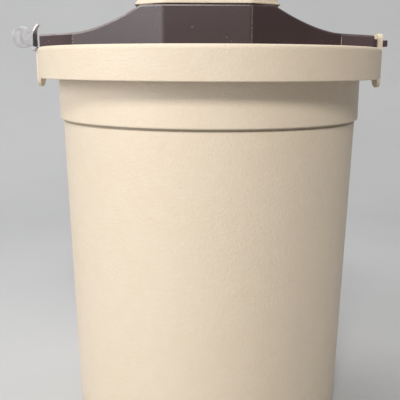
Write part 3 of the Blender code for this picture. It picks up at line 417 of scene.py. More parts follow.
def stacked_sheets(name):
    """Electrical sheet stacked edge on, with thin dark joints and a little rust."""
    finish = Finish(name, roughness=0.5, metallic=0.85)
    sheets = finish.waves(315.0, "Z")
    colour = finish.blend(finish.remap(sheets, 0.2, 0.8), (0.16, 0.16, 0.17), (0.36, 0.36, 0.38))
    rust = finish.remap(finish.noise(130.0, 5.0, 0.7), 0.56, 0.72, 0.0, 0.55)
    finish.colour(finish.blend(rust, colour, (0.24, 0.12, 0.06)))
    finish.rough(finish.remap(finish.noise(240.0, 4.0, 0.6), 0.3, 0.7, 0.38, 0.62))
    finish.bumps((sheets, 0.10, 0.6), (finish.noise(600.0, 3.0, 0.6), 0.03, 0.4))
    return finish.material


def wound_copper(name):
    """Enamelled copper wire laid side by side round the coil."""
    finish = Finish(name, roughness=0.3, metallic=0.9, Coat_Weight=0.4, Coat_Roughness=0.18)
    turns = finish.waves(290.0, "Y", distortion=0.6)
    colour = finish.blend(finish.remap(turns, 0.15, 0.8), (0.20, 0.065, 0.025), (0.62, 0.27, 0.11))
    shade = finish.remap(finish.noise(70.0, 4.0, 0.6), 0.40, 0.70, 0.0, 0.4)
    finish.colour(finish.blend(shade, colour, (0.34, 0.13, 0.05)))
    finish.rough(finish.remap(finish.noise(300.0, 3.0, 0.6), 0.3, 0.7, 0.24, 0.42))
    finish.bumps((turns, 0.22, 0.8))
    return finish.material


def bearing_bronze(name):
    """Oil-soaked sintered bronze, open-grained and darker in its pores."""
    finish = Finish(name, roughness=0.42, metallic=1.0)
    pores = finish.remap(finish.cells(1500.0), 0.10, 0.30)
    colour = finish.blend(pores, (0.26, 0.16, 0.07), (0.66, 0.46, 0.23))
    oil = finish.remap(finish.noise(150.0, 4.0, 0.6), 0.45, 0.65, 0.0, 0.5)
    finish.colour(finish.blend(oil, colour, (0.42, 0.27, 0.12)))
    finish.rough(finish.remap(finish.noise(380.0, 4.0, 0.6), 0.3, 0.7, 0.30, 0.52))
    finish.bumps((pores, 0.04, 0.5))
    return finish.material


def soft_rubber(name):
    """Black rubber bush with a dull bloom."""
    finish = Finish(name, Specular_IOR_Level=0.35)
    bloom = finish.remap(finish.noise(170.0, 5.0, 0.65), 0.42, 0.70)
    finish.colour(finish.blend(bloom, (0.018, 0.017, 0.016), (0.050, 0.047, 0.044)))
    finish.rough(finish.remap(finish.noise(260.0, 3.0, 0.6), 0.3, 0.7, 0.55, 0.80))
    finish.bumps((finish.noise(900.0, 3.0, 0.6), 0.06, 0.5))
    return finish.material


def pale_backdrop(name):
    """Plain matt paper for the floor and walls."""
    finish = Finish(name, Specular_IOR_Level=0.2)
    tone = finish.remap(finish.noise(2.5, 3.0, 0.5), 0.35, 0.7)
    finish.colour(finish.blend(tone, (0.500, 0.505, 0.515), (0.535, 0.540, 0.545)))
    finish.rough(finish.remap(finish.noise(60.0, 3.0, 0.5), 0.3, 0.7, 0.75, 0.9))
    finish.bumps((finish.noise(500.0, 2.0, 0.5), 0.05, 0.1))
    return finish.material


ALMOND = almond_plastic("almond_plastic", groove=True)
ALMOND_COVER = almond_plastic("almond_cover", tint=0.93)
BROWN = brown_plastic("brown_plastic", seams=True)
# the shell's shoulders, with a painted highlight
BROWN_HIGHLIGHT_EDGE = brown_plastic("brown_highlight_edge", shoulder_highlight=0.55)
BROWN_PLATE = brown_plastic("brown_plate")
ALUMINIUM = spun_aluminium("aluminium")
LID = smooth_plastic("ivory_lid", (0.80, 0.77, 0.66), (0.74, 0.69, 0.56), (0.18, 0.32), 0.55)
IVORY = smooth_plastic("ivory_plastic", (0.82, 0.78, 0.67), (0.75, 0.69, 0.56), (0.32, 0.48))
NYLON = smooth_plastic("nylon_gear", (0.80, 0.77, 0.67), (0.70, 0.65, 0.52), (0.36, 0.52))
ZINC = plated_steel("zinc_steel")
LATCH_STEEL = plated_steel("latch_steel", blade_shade=True)
LAMINATE = stacked_sheets("lamination_steel")
COPPER = wound_copper("coil_copper")
BRONZE = bearing_bronze("bronze")
RUBBER = soft_rubber("black_rubber")
BACKDROP = pale_backdrop("backdrop")


# ------------------------------------------------------------------ shape helpers

def from_bmesh(name, work, material):
    """Turns a bmesh into an object with its faces pointing out."""
    bmesh.ops.recalc_face_normals(work, faces=work.faces)
    mesh = bpy.data.meshes.new(name)
    work.to_mesh(mesh)
    work.free()
    mesh.materials.append(material)
    obj = bpy.data.objects.new(name, mesh)
    bpy.context.scene.collection.objects.link(obj)
    return obj


def rounded(points, steps=4):
    """An outline with each corner (u, v, radius) drawn as a soft curve of about that radius."""
    drawn = []
    count = len(points)
    for i, (u, v, radius) in enumerate(points):
        corner = Vector((u, v))
        if radius <= 0.0:
            drawn.append((u, v))
            continue
        back = Vector(points[i - 1][:2]) - corner
        ahead = Vector(points[(i + 1) % count][:2]) - corner
        half = back.angle(ahead) / 2
        reach = min(radius / math.tan(half), 0.48 * back.length, 0.48 * ahead.length)
        start = corner + back.normalized() * reach
        end = corner + ahead.normalized() * reach
        for k in range(steps + 1):
            t = k / steps
            at = start * (1 - t) ** 2 + corner * (2 * t * (1 - t)) + end * t**2
            drawn.append((at.x, at.y))
    return drawn


def arc(at, radius, first, last, count):
    """Points on an arc, both ends included, with angles in degrees."""
    turns = [math.radians(first + (last - first) * i / (count - 1)) for i in range(count)]
    return [(at[0] + radius * math.cos(turn), at[1] + radius * math.sin(turn)) for turn in turns]


def circle(at, radius, sides):
    """Corners of a regular outline round a centre, the first on its +X side."""
    turns = [2 * math.pi * k / sides for k in range(sides)]
    return [(at[0] + radius * math.cos(turn), at[1] + radius * math.sin(turn)) for turn in turns]


def spline(points, per_span):
    """A smooth curve through the points."""
    ends = [2 * Vector(points[0]) - Vector(points[1]), 2 * Vector(points[-1]) - Vector(points[-2])]
    knots = [ends[0]] + [Vector(p) for p in points] + [ends[1]]
    drawn = []
    for a, b, c, d in zip(knots, knots[1:], knots[2:], knots[3:]):
        for k in range(per_span):
            t = k / per_span
            square = 2 * a - 5 * b + 4 * c - d
            cube = 3 * b - a - 3 * c + d
            drawn.append(tuple(0.5 * (2 * b + (c - a) * t + square * t**2 + cube * t**3)))
    drawn.append(tuple(knots[-2]))
    return drawn


def revolve(name, outline, material, sides):
    """A solid turned about Z from a closed outline of (radius, height)."""
    work = bmesh.new()
    rings = []
    for radius, z in outline:
        if radius < 1e-6:
            rings.append([work.verts.new((0.0, 0.0, z * MM))])
            continue
        rings.append([work.verts.new((x * MM, y * MM, z * MM)) for x, y in circle((0.0, 0.0), radius, sides)])
    pairs = list(zip(rings, rings[1:]))
    if len(rings[0]) > 1 and len(rings[-1]) > 1:
        pairs.append((rings[-1], rings[0]))
    for lower, upper in pairs:
        for i in range(sides):
            j = (i + 1) % sides
            if len(lower) == 1:
                work.faces.new((lower[0], upper[i], upper[j]))
            elif len(upper) == 1:
                work.faces.new((lower[i], lower[j], upper[0]))
            else:
                work.faces.new((lower[i], lower[j], upper[j], upper[i]))
    return from_bmesh(name, work, material)


def loft(name, rings, material, edge_material=None, edge_sides=()):
    """A closed solid through rings of (x, y, z) points, capped at both ends.

    The sides numbered in edge_sides take the edge material.
    """
    work = bmesh.new()
    rows = [[work.verts.new(Vector(point) * MM) for point in ring] for ring in rings]
    count = len(rows[0])
    for lower, upper in zip(rows, rows[1:]):
        for i in range(count):
            j = (i + 1) % count
            face = work.faces.new((lower[i], lower[j], upper[j], upper[i]))
            face.material_index = 1 if i in edge_sides else 0
    work.faces.new(list(reversed(rows[0])))
    work.faces.new(rows[-1])
    obj = from_bmesh(name, work, material)
    if edge_material:
        obj.data.materials.append(edge_material)
    return obj


def prism(name, outline, low, high, axis, material):
    """An outline given a thickness along an axis: (x, y) on Z, (x, z) on Y and (y, z) on X."""
    def lift(u, v, w):
        return {"X": (w, u, v), "Y": (u, w, v), "Z": (u, v, w)}[axis]

    return loft(name, [[lift(u, v, w) for u, v in outline] for w in (low, high)], material)


def block(name, low, high, material):
    """A box between two corners, for cutting or joining."""
    (x0, y0, z0), (x1, y1, z1) = low, high
    return prism(name, [(x0, y0), (x1, y0), (x1, y1), (x0, y1)], z0, z1, "Z", material)


def post(name, at, z_low, z_high, r_low, r_high, material, sides=32):
    """A round or many-sided post, cone or hole on Z."""
    ends = ((r_low, z_low), (r_high, z_high))
    return loft(name, [[(x, y, z) for x, y in circle(at, radius, sides)] for radius, z in ends], material)


def bar(name, axis, at, low, high, radius, material, sides=32):
    """A round bar along X or Y, with its centre at (y, z) or (x, z)."""
    outline = arc(at, radius, 0.0, 360.0 * (sides - 1) / sides, sides)
    return prism(name, outline, low, high, axis, material)


def settle(obj):
    """Makes the object's modifiers part of its mesh."""
    bpy.context.view_layer.update()
    graph = bpy.context.evaluated_depsgraph_get()
    mesh = bpy.data.meshes.new_from_object(obj.evaluated_get(graph))
    old = obj.data
    obj.modifiers.clear()
    obj.data = mesh
    bpy.data.meshes.remove(old)
    return obj


def screw_hole(name, at, low, high, material, sides):
    """An upright post that cuts the hole for one of the head's screws."""
    return post(name, at, low, high, SCREW_HOLE_R, SCREW_HOLE_R, material, sides)


def combine(obj, other, operation):
    """Cuts the other object from this one or joins it to it, and removes the other."""
    modifier = obj.modifiers.new("combine", "BOOLEAN")
    modifier.operation = operation
    modifier.solver = "EXACT"
    modifier.object = other
    settle(obj)
    mesh = other.data
    bpy.data.objects.remove(other)
    bpy.data.meshes.remove(mesh)
    return obj


def cut(obj, *others):
    """Cuts the others away, one after another."""
    for other in others:
        combine(obj, other, "DIFFERENCE")
    return obj


def join(obj, *others):
    """Joins the others on, one after another."""
    for other in others:
        combine(obj, other, "UNION")
    return obj


def soften(obj, width, segments=3, angle=35.0):
    """Rounds the edges sharper than an angle."""
    modifier = obj.modifiers.new("soften", "BEVEL")
    modifier.width = width * MM
    modifier.segments = segments
    modifier.limit_method = "ANGLE"
    modifier.angle_limit = math.radians(angle)
    return settle(obj)


def finished(obj, body, slot, *nodes, angle=32.0):
    """Shades the piece, puts it on its body, and lets it stand for its CAD nodes."""
    obj.data.shade_smooth()
    obj.data.set_sharp_from_angle(angle=math.radians(angle))
    even = obj.modifiers.new("even_shading", "WEIGHTED_NORMAL")
    even.keep_sharp = True
    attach(obj, body)
    if nodes:
        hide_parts(*nodes)
    return obj


# ------------------------------------------------------------------ tub

def wall_points(low_r, top_r, low_z, top_z):
    """Rings up a wall, closer together round the drain hole, that keep its shading even."""
    beside = DRAIN_R + 1.2
    heights = [40.0, 80.0, 120.0, 160.0, 190.0, 210.0, DRAIN_Z - beside, DRAIN_Z + beside, 236.0]
    return [(low_r + (top_r - low_r) * (z - low_z) / (top_z - low_z), z, 0) for z in heights]


def make_tub():
    """The tub: wall, rim and skirt, two pillars, the ear, and its holes."""
    inner_low, inner_top, inner_band = WALL_LOW_R - WALL, WALL_TOP_R - WALL, BAND_R - WALL
    outline = rounded([
        (0.0, 20.5, 0), (5.0, 20.5, 1.6), (5.0, 14.0, 0.8), (16.5, 14.0, 1.6), (18.0, FLOOR_Z, 1.0),
        (inner_low, FLOOR_Z, 6.0), *wall_points(inner_low, inner_top, FLOOR_Z, BAND_Z - 3.0),
        (inner_top, BAND_Z - 3.0, 2.0), (inner_band, BAND_Z + 1.5, 2.0),
        (inner_band, RIM_Z, 1.6), (RIM_R - 0.1, RIM_Z, 3.2),
        (RIM_R - 0.2, SKIRT_Z, 0.9),
        (RIM_R - SKIRT_WALL, SKIRT_Z, 0.7), (RIM_R - SKIRT_WALL, RIM_Z - WALL, 1.5),
        (BAND_R, RIM_Z - WALL, 1.5), (BAND_R - 0.1, BAND_Z - 0.1, 2.4),
        (WALL_TOP_R - 0.5, BAND_Z - 0.5, 0.25), (WALL_TOP_R - 0.5, BAND_Z - 1.3, 0.25),
        (WALL_TOP_R - 0.05, BAND_Z - 2.0, 0.5),
        *reversed(wall_points(WALL_LOW_R, WALL_TOP_R - 0.05, 15.0, BAND_Z - 2.0)), (WALL_LOW_R, 15.0, 1.4),
        (WALL_LOW_R - 0.9, 9.8, 1.2), (FOOT_R, 6.0, 1.5), (FOOT_R, 0.0, 0.9),
        (FOOT_R - 4.5, 0.0, 0.9), (FOOT_R - 4.5, 4.0, 0.9), (24.0, 4.0, 0.8), (22.0, 0.0, 0.8), (0.0, 0.0, 0),
    ], steps=5)
    tub = revolve("tub_body", outline, ALMOND, 288)

    pillar_in = RIM_R - 2.1
    tip = EAR_X - EAR_WALL - HOOK_REACH
    window = [
        (tip - 0.3, RIM_Z + 0.2), (EAR_X + 1.2, RIM_Z - 2.8),
        (EAR_X + 1.2, WINDOW_TOP), (tip - 0.3, WINDOW_TOP),
    ]
    for side, top in ((-1, LATCH_PILLAR_TOP), (1, RIM_Z - 2.0)):
        low, high = sorted((side * pillar_in, side * EAR_X))
        foot = [(EAR_HALF, top, 0), (-EAR_HALF, top, 0)]
        foot += [(-EAR_HALF, EAR_LOW, EAR_FOOT_ROUND), (EAR_HALF, EAR_LOW, EAR_FOOT_ROUND)]
        pillar = prism("pillar", rounded(foot, 10), low, high, "X", ALMOND)
        inner = side * (RIM_R - 3.2)
        wedge = [
            (inner, EAR_LOW - 1.0), (side * (EAR_X - EAR_FOOT_TIP), EAR_LOW - 1.0),
            (side * (EAR_X - EAR_FOOT_ROOT), SKIRT_Z - 0.3), (inner, SKIRT_Z - 0.3),
        ]
        cut(pillar, prism("foot_slope", wedge, -EAR_HALF - 1.0, EAR_HALF + 1.0, "Y", ALMOND))
        if side > 0:
            half = EAR_HALF - 0.02
            head = [(-half, RIM_Z - 4.0, 0), (half, RIM_Z - 4.0, 0)]
            head += [(half, EAR_TOP, 4.6), (-half, EAR_TOP, 4.6)]
            join(pillar, prism("ear", rounded(head, 6), EAR_X - EAR_WALL, EAR_X - 0.01, "X", ALMOND))
            hook = [
                (tip, EAR_TOP - 0.8, 0.8), (tip, WINDOW_TOP, 0.8), (EAR_X - 1.0, WINDOW_TOP, 0),
                (EAR_X - 1.0, EAR_TOP - 0.8, 0),
            ]
            join(pillar, prism("hook", rounded(hook, 3), 3.0 - EAR_HALF, EAR_HALF - 3.0, "Y", ALMOND))
            cut(pillar, prism("window", window, -WINDOW_HALF, WINDOW_HALF, "Y", ALMOND))
        join(tub, soften(pillar, 1.0, 4, 40.0))
    cut(tub, prism("sill", window, -WINDOW_HALF, WINDOW_HALF, "Y", ALMOND))
    cut(tub, bar("drain", "Y", (0.0, DRAIN_Z), 105.0, 125.0, DRAIN_R, ALMOND, 40))
    half = LEAF_HALF + GAP
    cut(tub, block("recess", (-EAR_X - 1.0, -half, RIVETS_Z[1] - 4.5), (-RECESS_X, half, RIM_Z), ALMOND))
    for z in RIVETS_Z:
        cut(tub, bar("rivet_hole", "X", (0.0, z), -EAR_X - 1.0, -RIM_R + 9.0, RIVET_HOLE_R, ALMOND, 20))
    return finished(tub, "tub", "almond_plastic", "tub")


# ------------------------------------------------------------------ can and lid

def make_canister():
    """The spun can, with its rolled rim, bottom socket and two rim notches."""
    inner = CAN_R - CAN_WALL
    outline = rounded([
        (0.0, 22.2, 0), (5.6, 22.2, 1.6), (6.6, CAN_LOW + CAN_WALL, 0.8), (inner, CAN_LOW + CAN_WALL, 5.0),
        (inner, CAN_TOP, 0.3), (CAN_R + 1.3, CAN_TOP, 0.7), (CAN_R + 1.3, CAN_TOP - 2.4, 0.7),
        (CAN_R, CAN_TOP - 2.6, 0.3), (CAN_R, CAN_LOW, 5.6), (5.6, CAN_LOW, 0.6), (5.2, 21.2, 1.0),
        (0.0, 21.2, 0),
    ], steps=6)
    can = revolve("can_body", outline, ALUMINIUM, 160)
    for side in (-1, 1):
        low, high = sorted((side * (CAN_R - 3.0), side * (CAN_R + 3.0)))
        cut(can, block("notch", (low, -5.0, CAN_TOP - 3.6), (high, 5.0, CAN_TOP + 1.0), ALUMINIUM))
    return finished(can, "can", "aluminium", "canister")


def make_lid():
    """The can's lid, with its neck, six-sided boss, bore and keys."""
    neck_top, rim_low, rim_out, rim_in = BOSS_LOW_Z + 1.4, CAN_TOP - 10.0, CAN_R + 4.2, CAN_R + 2.0
    outline = rounded([
        (0.0, neck_top, 0), (NECK_R - 0.6, neck_top, 1.0), (NECK_R + 1.0, LID_TOP + 4.0, 3.0),
        (NECK_R + 4.0, LID_TOP, 3.0), (CAN_R - 14.0, LID_TOP, 1.0), (CAN_R - 12.5, LID_TOP - 0.8, 0.6),
        (CAN_R - 4.0, LID_TOP - 0.8, 0.6), (CAN_R - 2.5, LID_TOP, 0.8), (rim_out, LID_TOP, 1.4),
        (rim_out, rim_low, 0.5), (rim_in, rim_low, 0.5), (rim_in, CAN_TOP + GAP, 0.5),
        (0.0, CAN_TOP + GAP, 0),
    ], steps=4)
    lid = revolve("lid_body", outline, LID, 160)
    boss = post("boss", (0.0, 0.0), BOSS_LOW_Z, BOSS_TOP_Z, BOSS_LOW_R, BOSS_TOP_R, LID, 6)
    join(lid, soften(boss, 0.8, 3))
    cut(lid, post("boss_bore", (0.0, 0.0), CAN_TOP - 5.0, BOSS_TOP_Z + 2.0, 6.5, 6.5, LID, 40))
    for side in (-1, 1):
        low, high = sorted((side * (CAN_R - 2.4), side * (CAN_R + 3.0)))
        join(lid, block("key", (low, -4.2, CAN_TOP - 2.8), (high, 4.2, CAN_TOP + 1.5), LID))
    return finished(lid, "can", "ivory_lid", "canister_lid")


# ------------------------------------------------------------------ head

def soft_limit(value, limit, reach, upper):
    """The smaller (or larger) of two numbers, with the corner between them rounded."""
    closeness = max(reach - abs(value - limit), 0.0) / reach
    nudge = closeness**2 * reach / 4
    return min(value, limit) - nudge if upper else max(value, limit) + nudge


def shell_width(away):
    """Half width of the head's shell at a distance from its middle."""
    slope = (FACE_Y - ARM_HALF_WIDTH) / (SEAM_X - FACE_HALF)
    facet = FACE_Y - (away - FACE_HALF) * slope
    return soft_limit(soft_limit(facet, ARM_HALF_WIDTH, 0.5, False), FACE_Y, 1.3, True)


def shell_roof(away):
    """Height of the shell's roof at a distance from its middle."""
    if away >= SEAM_X:
        return ARM_SEAM_Z + (ARM_END_Z - ARM_SEAM_Z) * (away - SEAM_X) / (ARM_HALF_LENGTH - SEAM_X)
    rise = min(1.0, (SEAM_X - away) / (SEAM_X - DECK_X))
    return ARM_SEAM_Z + (DECK_Z - ARM_SEAM_Z) * rise**SWOOP_POWER


def shell_section(x, away, inset, low, radius, shrink=0.0):
    """The shell's cross-section at a place along the head, with rounded shoulders."""
    seam = max(0.0, 1.0 - abs(away - SEAM_X) / 0.3) * 0.28 if inset == 0.0 else 0.0
    half = shell_width(away) - inset - shrink - seam
    top = shell_roof(away) - inset - shrink - seam
    foot = 0.5 if inset == 0.0 else 0.05
    corners = [(half - foot, low), (half, low + foot)]
    for k in range(7):
        turn = math.radians(15.0 * k)
        corners.append((half - radius + radius * math.cos(turn), top - radius + radius * math.sin(turn)))
    mirrored = [(-y, z) for y, z in reversed(corners)]
    return [(x, y, z) for y, z in corners + mirrored]


def shell_solid(name, inset, low, radius):
    """The shell's outer or inner volume, drawn through its cross-sections from one end to the other."""
    length = ARM_HALF_LENGTH - inset
    places = {0.0, 20.0, FACE_HALF, DECK_X, SEAM_X}
    places |= {SEAM_X + step * 0.15 for step in (-2, -1, 1, 2)}
    places |= {FACE_HALF + step * 0.4 for step in range(-8, 9)}
    places |= {SEAM_X + step * 0.5 for step in range(-4, 5)}
    places |= {DECK_X + step * 0.5 for step in range(-2, 5)}
    places |= {DECK_X + 3.0 + step * 2.0 for step in range(25)}
    places |= {SEAM_X + step * 4.0 for step in range(1, 6)}
    places = sorted(place for place in places if place < length - 1.6)
    ends = []
    if inset == 0.0:
        for k in range(6):
            turn = math.radians(18.0 * k)
            ends.append((length - 1.0 + math.sin(turn), 1.0 - math.cos(turn)))
    else:
        ends.append((length, 0.0))
    half = [(place, 0.0) for place in places] + ends
    run = [(-away, away, shrink) for away, shrink in reversed(half[1:])]
    run += [(away, away, shrink) for away, shrink in half]
    rings = [
        shell_section(SHELL_X + x, min(away, ARM_HALF_LENGTH), inset, low, radius, shrink)
        for x, away, shrink in run
    ]
    if inset > 0.0:
        return loft(name, rings, BROWN)
    count = len(rings[0])
    shoulder = range(2, 8)
    return loft(name, rings, BROWN, BROWN_HIGHLIGHT_EDGE, {*shoulder, *(count - 2 - i for i in shoulder)})


def make_housing():
    """The head's shell, hollow from below, with its end pockets, tilt tab, bosses and holes."""
    shell = shell_solid("head_shell", 0.0, SHELL_LOW, 1.6)
    cut(shell, shell_solid("hollow", SHELL_WALL, SHELL_LOW - 5.0, 0.4))
    floor = ARM_HALF_LENGTH - POCKET_DEPTH
    half = POCKET_HALF + 2.0
    for side in (-1, 1):
        low, high = sorted((side * (floor - SHELL_WALL) + SHELL_X, side * (ARM_HALF_LENGTH - 0.5) + SHELL_X))
        join(shell, block("end_block", (low, -half, SHELL_LOW + 0.01), (high, half, ARM_END_Z - 1.0), BROWN))
        low, high = sorted((side * floor + SHELL_X, side * (ARM_HALF_LENGTH + 4.0)))
        pocket = block("pocket", (low, -POCKET_HALF, POCKET_Z), (high, POCKET_HALF, ARM_END_Z + 5.0), BROWN)
        cut(shell, soften(pocket, 0.5, 2))
    tab = block("tab", (TILT_X - 8.0, -TAB_HALF, TAB_LOW), (TAB_END, TAB_HALF, POCKET_Z - 0.01), BROWN)
    join(shell, soften(tab, 0.5, 2))

    boss = post("stem_boss", (0.0, 0.0), 313.8, DECK_Z - 1.0, 8.6, 8.6, BROWN)
    join(shell, cut(boss, post("stem_socket", (0.0, 0.0), 312.0, 325.5, 5.6, 5.6, BROWN, 6)))
    for at in (FIRST_AT, SECOND_AT):
        join(shell, post("pin_seat", at, 325.6, DECK_Z - 1.0, 4.4, 4.4, BROWN))
        cut(shell, post("pin_seat_bore", at, 324.0, 328.0, 2.15, 2.15, BROWN))
    cut(shell, post("shaft_hole", MOTOR_AT, 320.0, 335.0, 7.0, 7.0, BROWN))
    for x, y in PLATE_SCREWS_AT:
        roof = shell_roof(abs(x - SHELL_X)) - 1.5
        stand = post("stand", (x, y), RIM_Z + 3.6, roof, 4.0, 4.0, BROWN, 24)
        cut(stand, screw_hole("stand_bore", (x, y), RIM_Z, roof - 3.0, BROWN, 16))
        join(shell, stand)
    for x, y in COVER_SCREWS_AT:
        stand = post("cover_stand", (x, y), DECK_Z - 1.0, DECK_Z + 4.0, 4.0, 4.0, BROWN, 24)
        cut(stand, screw_hole("cover_bore", (x, y), DECK_Z + 0.5, DECK_Z + 8.0, BROWN, 16))
        join(shell, stand)
    for x, y in BOLTS_AT:
        join(shell, post("bolt_boss", (x, y), DECK_Z - 7.5, DECK_Z - 1.0, 3.5, 3.5, BROWN, 24))
        cut(shell, post("bolt_hole", (x, y), DECK_Z - 9.0, DECK_Z + 3.0, 1.9, 1.9, BROWN, 16))
    cut(shell, bar("gland_hole", "Y", GLAND_AT, FACE_Y - 6.0, FACE_Y + 3.0, 5.3, BROWN))
    return finished(shell, "head", "brown_plastic", "gear_housing", angle=28.0)


def cover_ring(scale, z, inset=0.0):
    """One level of the motor cover: eight sides with rounded corners, drawn in by a scale and a wall."""
    slope = (FACE_Y - ARM_HALF_WIDTH) / (SEAM_X - FACE_HALF)
    face = (FACE_Y + 0.9) * scale - inset
    middle = (FACE_HALF + 0.3) * scale
    end = CAP_X * scale - inset
    shoulder = (FACE_Y + 0.9) * scale - (CAP_X * scale - middle) * slope * 1.35 - inset
    quarter = [(end, shoulder), (middle, face)]
    half = quarter + [(-x, y) for x, y in reversed(quarter)]
    outline = half + [(x, -y) for x, y in reversed(half)]
    corners = [(x + SHELL_X, y, CAP_CORNER * scale) for x, y in outline]
    return [(x, y, z) for x, y in rounded(corners, 6)]


def make_motor_cover():
    """The motor's cover. Each level is a share of the foot's outline and a height above it."""
    foot = DECK_Z + GAP
    levels = [
        (0.996, 0.0), (1.0, 0.25), (1.0, 0.95), (0.992, 1.25), (0.972, 2.2), (0.957, 4.4), (0.943, 6.5),
        (0.915, 12.0), (0.899, 18.0), (0.885, 24.0), (0.875, 30.0), (0.866, 35.0), (0.853, 38.5),
        (0.836, 41.2), (0.812, 43.1), (0.780, 44.2), (0.740, 44.75), (0.60, 45.02), (0.35, 45.15),
        (0.08, CAP_HEIGHT),
    ]
    cover = loft("cover_shell", [cover_ring(scale, foot + rise) for scale, rise in levels], ALMOND_COVER)
    inside = [
        (0.99, -2.0), (0.97, 1.0), (0.955, 4.5), (0.915, 12.0), (0.885, 24.0), (0.865, 36.0), (0.83, 40.5),
        (0.78, 43.0),
    ]
    rings = [cover_ring(scale, foot + rise, CAP_WALL) for scale, rise in inside]
    cut(cover, loft("hollow", rings, ALMOND_COVER))
    for row in range(6):
        z = foot + 12.0 + row * 4.0
        slot = [(-22.0, z, 0.9), (22.0, z, 0.9), (22.0, z + 1.8, 0.9), (-22.0, z + 1.8, 0.9)]
        cut(cover, prism("vent", rounded(slot, 3), -90.0, 90.0, "X", ALMOND_COVER))
    for column in range(7):
        x = SHELL_X + (column - 3) * 7.0
        low, high = foot + 12.0, foot + 34.0
        slot = [(x - 1.0, low, 1.0), (x + 1.0, low, 1.0), (x + 1.0, high, 1.0), (x - 1.0, high, 1.0)]
        cut(cover, prism("rear_vent", rounded(slot, 3), 35.0, 70.0, "Y", ALMOND_COVER))
    for x, y in COVER_SCREWS_AT:
        join(cover, post("cover_post", (x, y), DECK_Z + 4.4, foot + 43.2, 4.9, 4.9, ALMOND_COVER))
        cut(cover, screw_hole("screw_hole", (x, y), DECK_Z + 2.0, foot + 50.0, ALMOND_COVER, 20))
        cut(cover, post("screw_seat", (x, y), foot + 38.0, foot + 50.0, 3.7, 3.7, ALMOND_COVER))
    return finished(cover, "head", "almond_plastic", "motor_cover")


def make_gland():
    """The cord's entry: a flanged rubber bush in the back wall."""
    outer, inner = FACE_Y + GAP, FACE_Y - SHELL_WALL - GAP
    outline = rounded([
        (3.2, inner - 1.6, 0.3), (5.2, inner - 1.6, 0.4), (6.2, inner - 0.9, 0.4), (6.2, inner, 0.3),
        (5.0, inner, 0.2), (5.0, outer, 0.2), (7.6, outer, 0.5), (7.6, outer + 1.8, 0.8),
        (5.2, outer + 1.9, 0.5), (4.6, outer + 2.2, 0.4), (3.2, outer + 2.2, 0.3),
    ], 3)
    gland = revolve("gland_bush", outline, RUBBER, 64)
    turn = Matrix.Rotation(math.radians(-90.0), 4, "X")
    gland.data.transform(Matrix.Translation((GLAND_AT[0] * MM, 0.0, GLAND_AT[1] * MM)) @ turn)
    return finished(gland, "head", "black_rubber", "cord_gland")


# ------------------------------------------------------------------ latch

def ribbon(points, thickness):
    """A strip of even thickness along a line, with rounded ends, as one outline."""
    half = thickness / 2
    outer, inner = [], []
    for i, (x, z) in enumerate(points):
        before = points[max(0, i - 1)]
        after = points[min(len(points) - 1, i + 1)]
        dx, dz = after[0] - before[0], after[1] - before[1]
        length = math.hypot(dx, dz)
        nx, nz = -dz / length, dx / length
        outer.append((x + nx * half, z + nz * half))
        inner.append((x - nx * half, z - nz * half))
    return outer + list(reversed(inner))


def make_lever():
    """The latch's lever: a bowed blade with a tapered tip, a thumb pad and a knuckle on the pin."""
    steel = LATCH_STEEL
    bow = [(-1.2, 0.3), (-1.4, 6.0), (-1.5, 9.6), (-1.3, 12.6), (-0.6, 15.2), (0.5, 17.4), (2.0, 19.3)]
    line = [(LATCH_X + x, LATCH_Z + z) for x, z in spline(bow, 5)]
    lever = prism("latch_blade", ribbon(line, STEEL), -LATCH_HALF, LATCH_HALF, "Y", steel)
    soften(lever, 0.22, 2, 50.0)
    join(lever, bar("knuckle", "Y", (LATCH_X, LATCH_Z), -KNUCKLE_HALF, KNUCKLE_HALF, KNUCKLE_R, steel))
    pad_at = (LATCH_X - 9.7, LATCH_Z + 9.0)
    neck = [(LATCH_X - 1.3, LATCH_Z + 2.9), (LATCH_X - 1.4, LATCH_Z + 12.3)]
    edge = neck + arc(pad_at, PAD_R, 45.0, 285.0, 49)
    pad = prism("thumb_pad", edge, -LATCH_HALF + 0.01, -LATCH_HALF + STEEL, "Y", steel)
    join(lever, soften(pad, 0.45, 4, 50.0))
    for side in (-1, 1):
        taper = [
            (side * 9.0, LATCH_Z + 11.0), (side * LATCH_HALF, LATCH_Z + 11.0), (side * 3.2, LATCH_Z + 19.0),
            (side * 2.2, LATCH_Z + 22.0), (side * 9.0, LATCH_Z + 22.0),
        ]
        start = LATCH_X - (1.65 if side < 0 else 4.0)
        cut(lever, prism("taper", taper, start, LATCH_X + 8.0, "X", steel))
    cut(lever, bar("pin_bore", "Y", (LATCH_X, LATCH_Z), -10.0, 10.0, LATCH_PIN_R + 0.2, steel, 24))
    for low, high in ((-8.0, -KNUCKLE_HALF - 0.01), (KNUCKLE_HALF + 0.01, 8.0)):
        corner = (LATCH_X - 3.5, low, LATCH_Z - 3.0)
        cut(lever, block("relief", corner, (LATCH_X + 3.5, high, LATCH_Z + 2.6), steel))
    finished(lever, "latch", "zinc_steel", "latch_lever", angle=40.0)


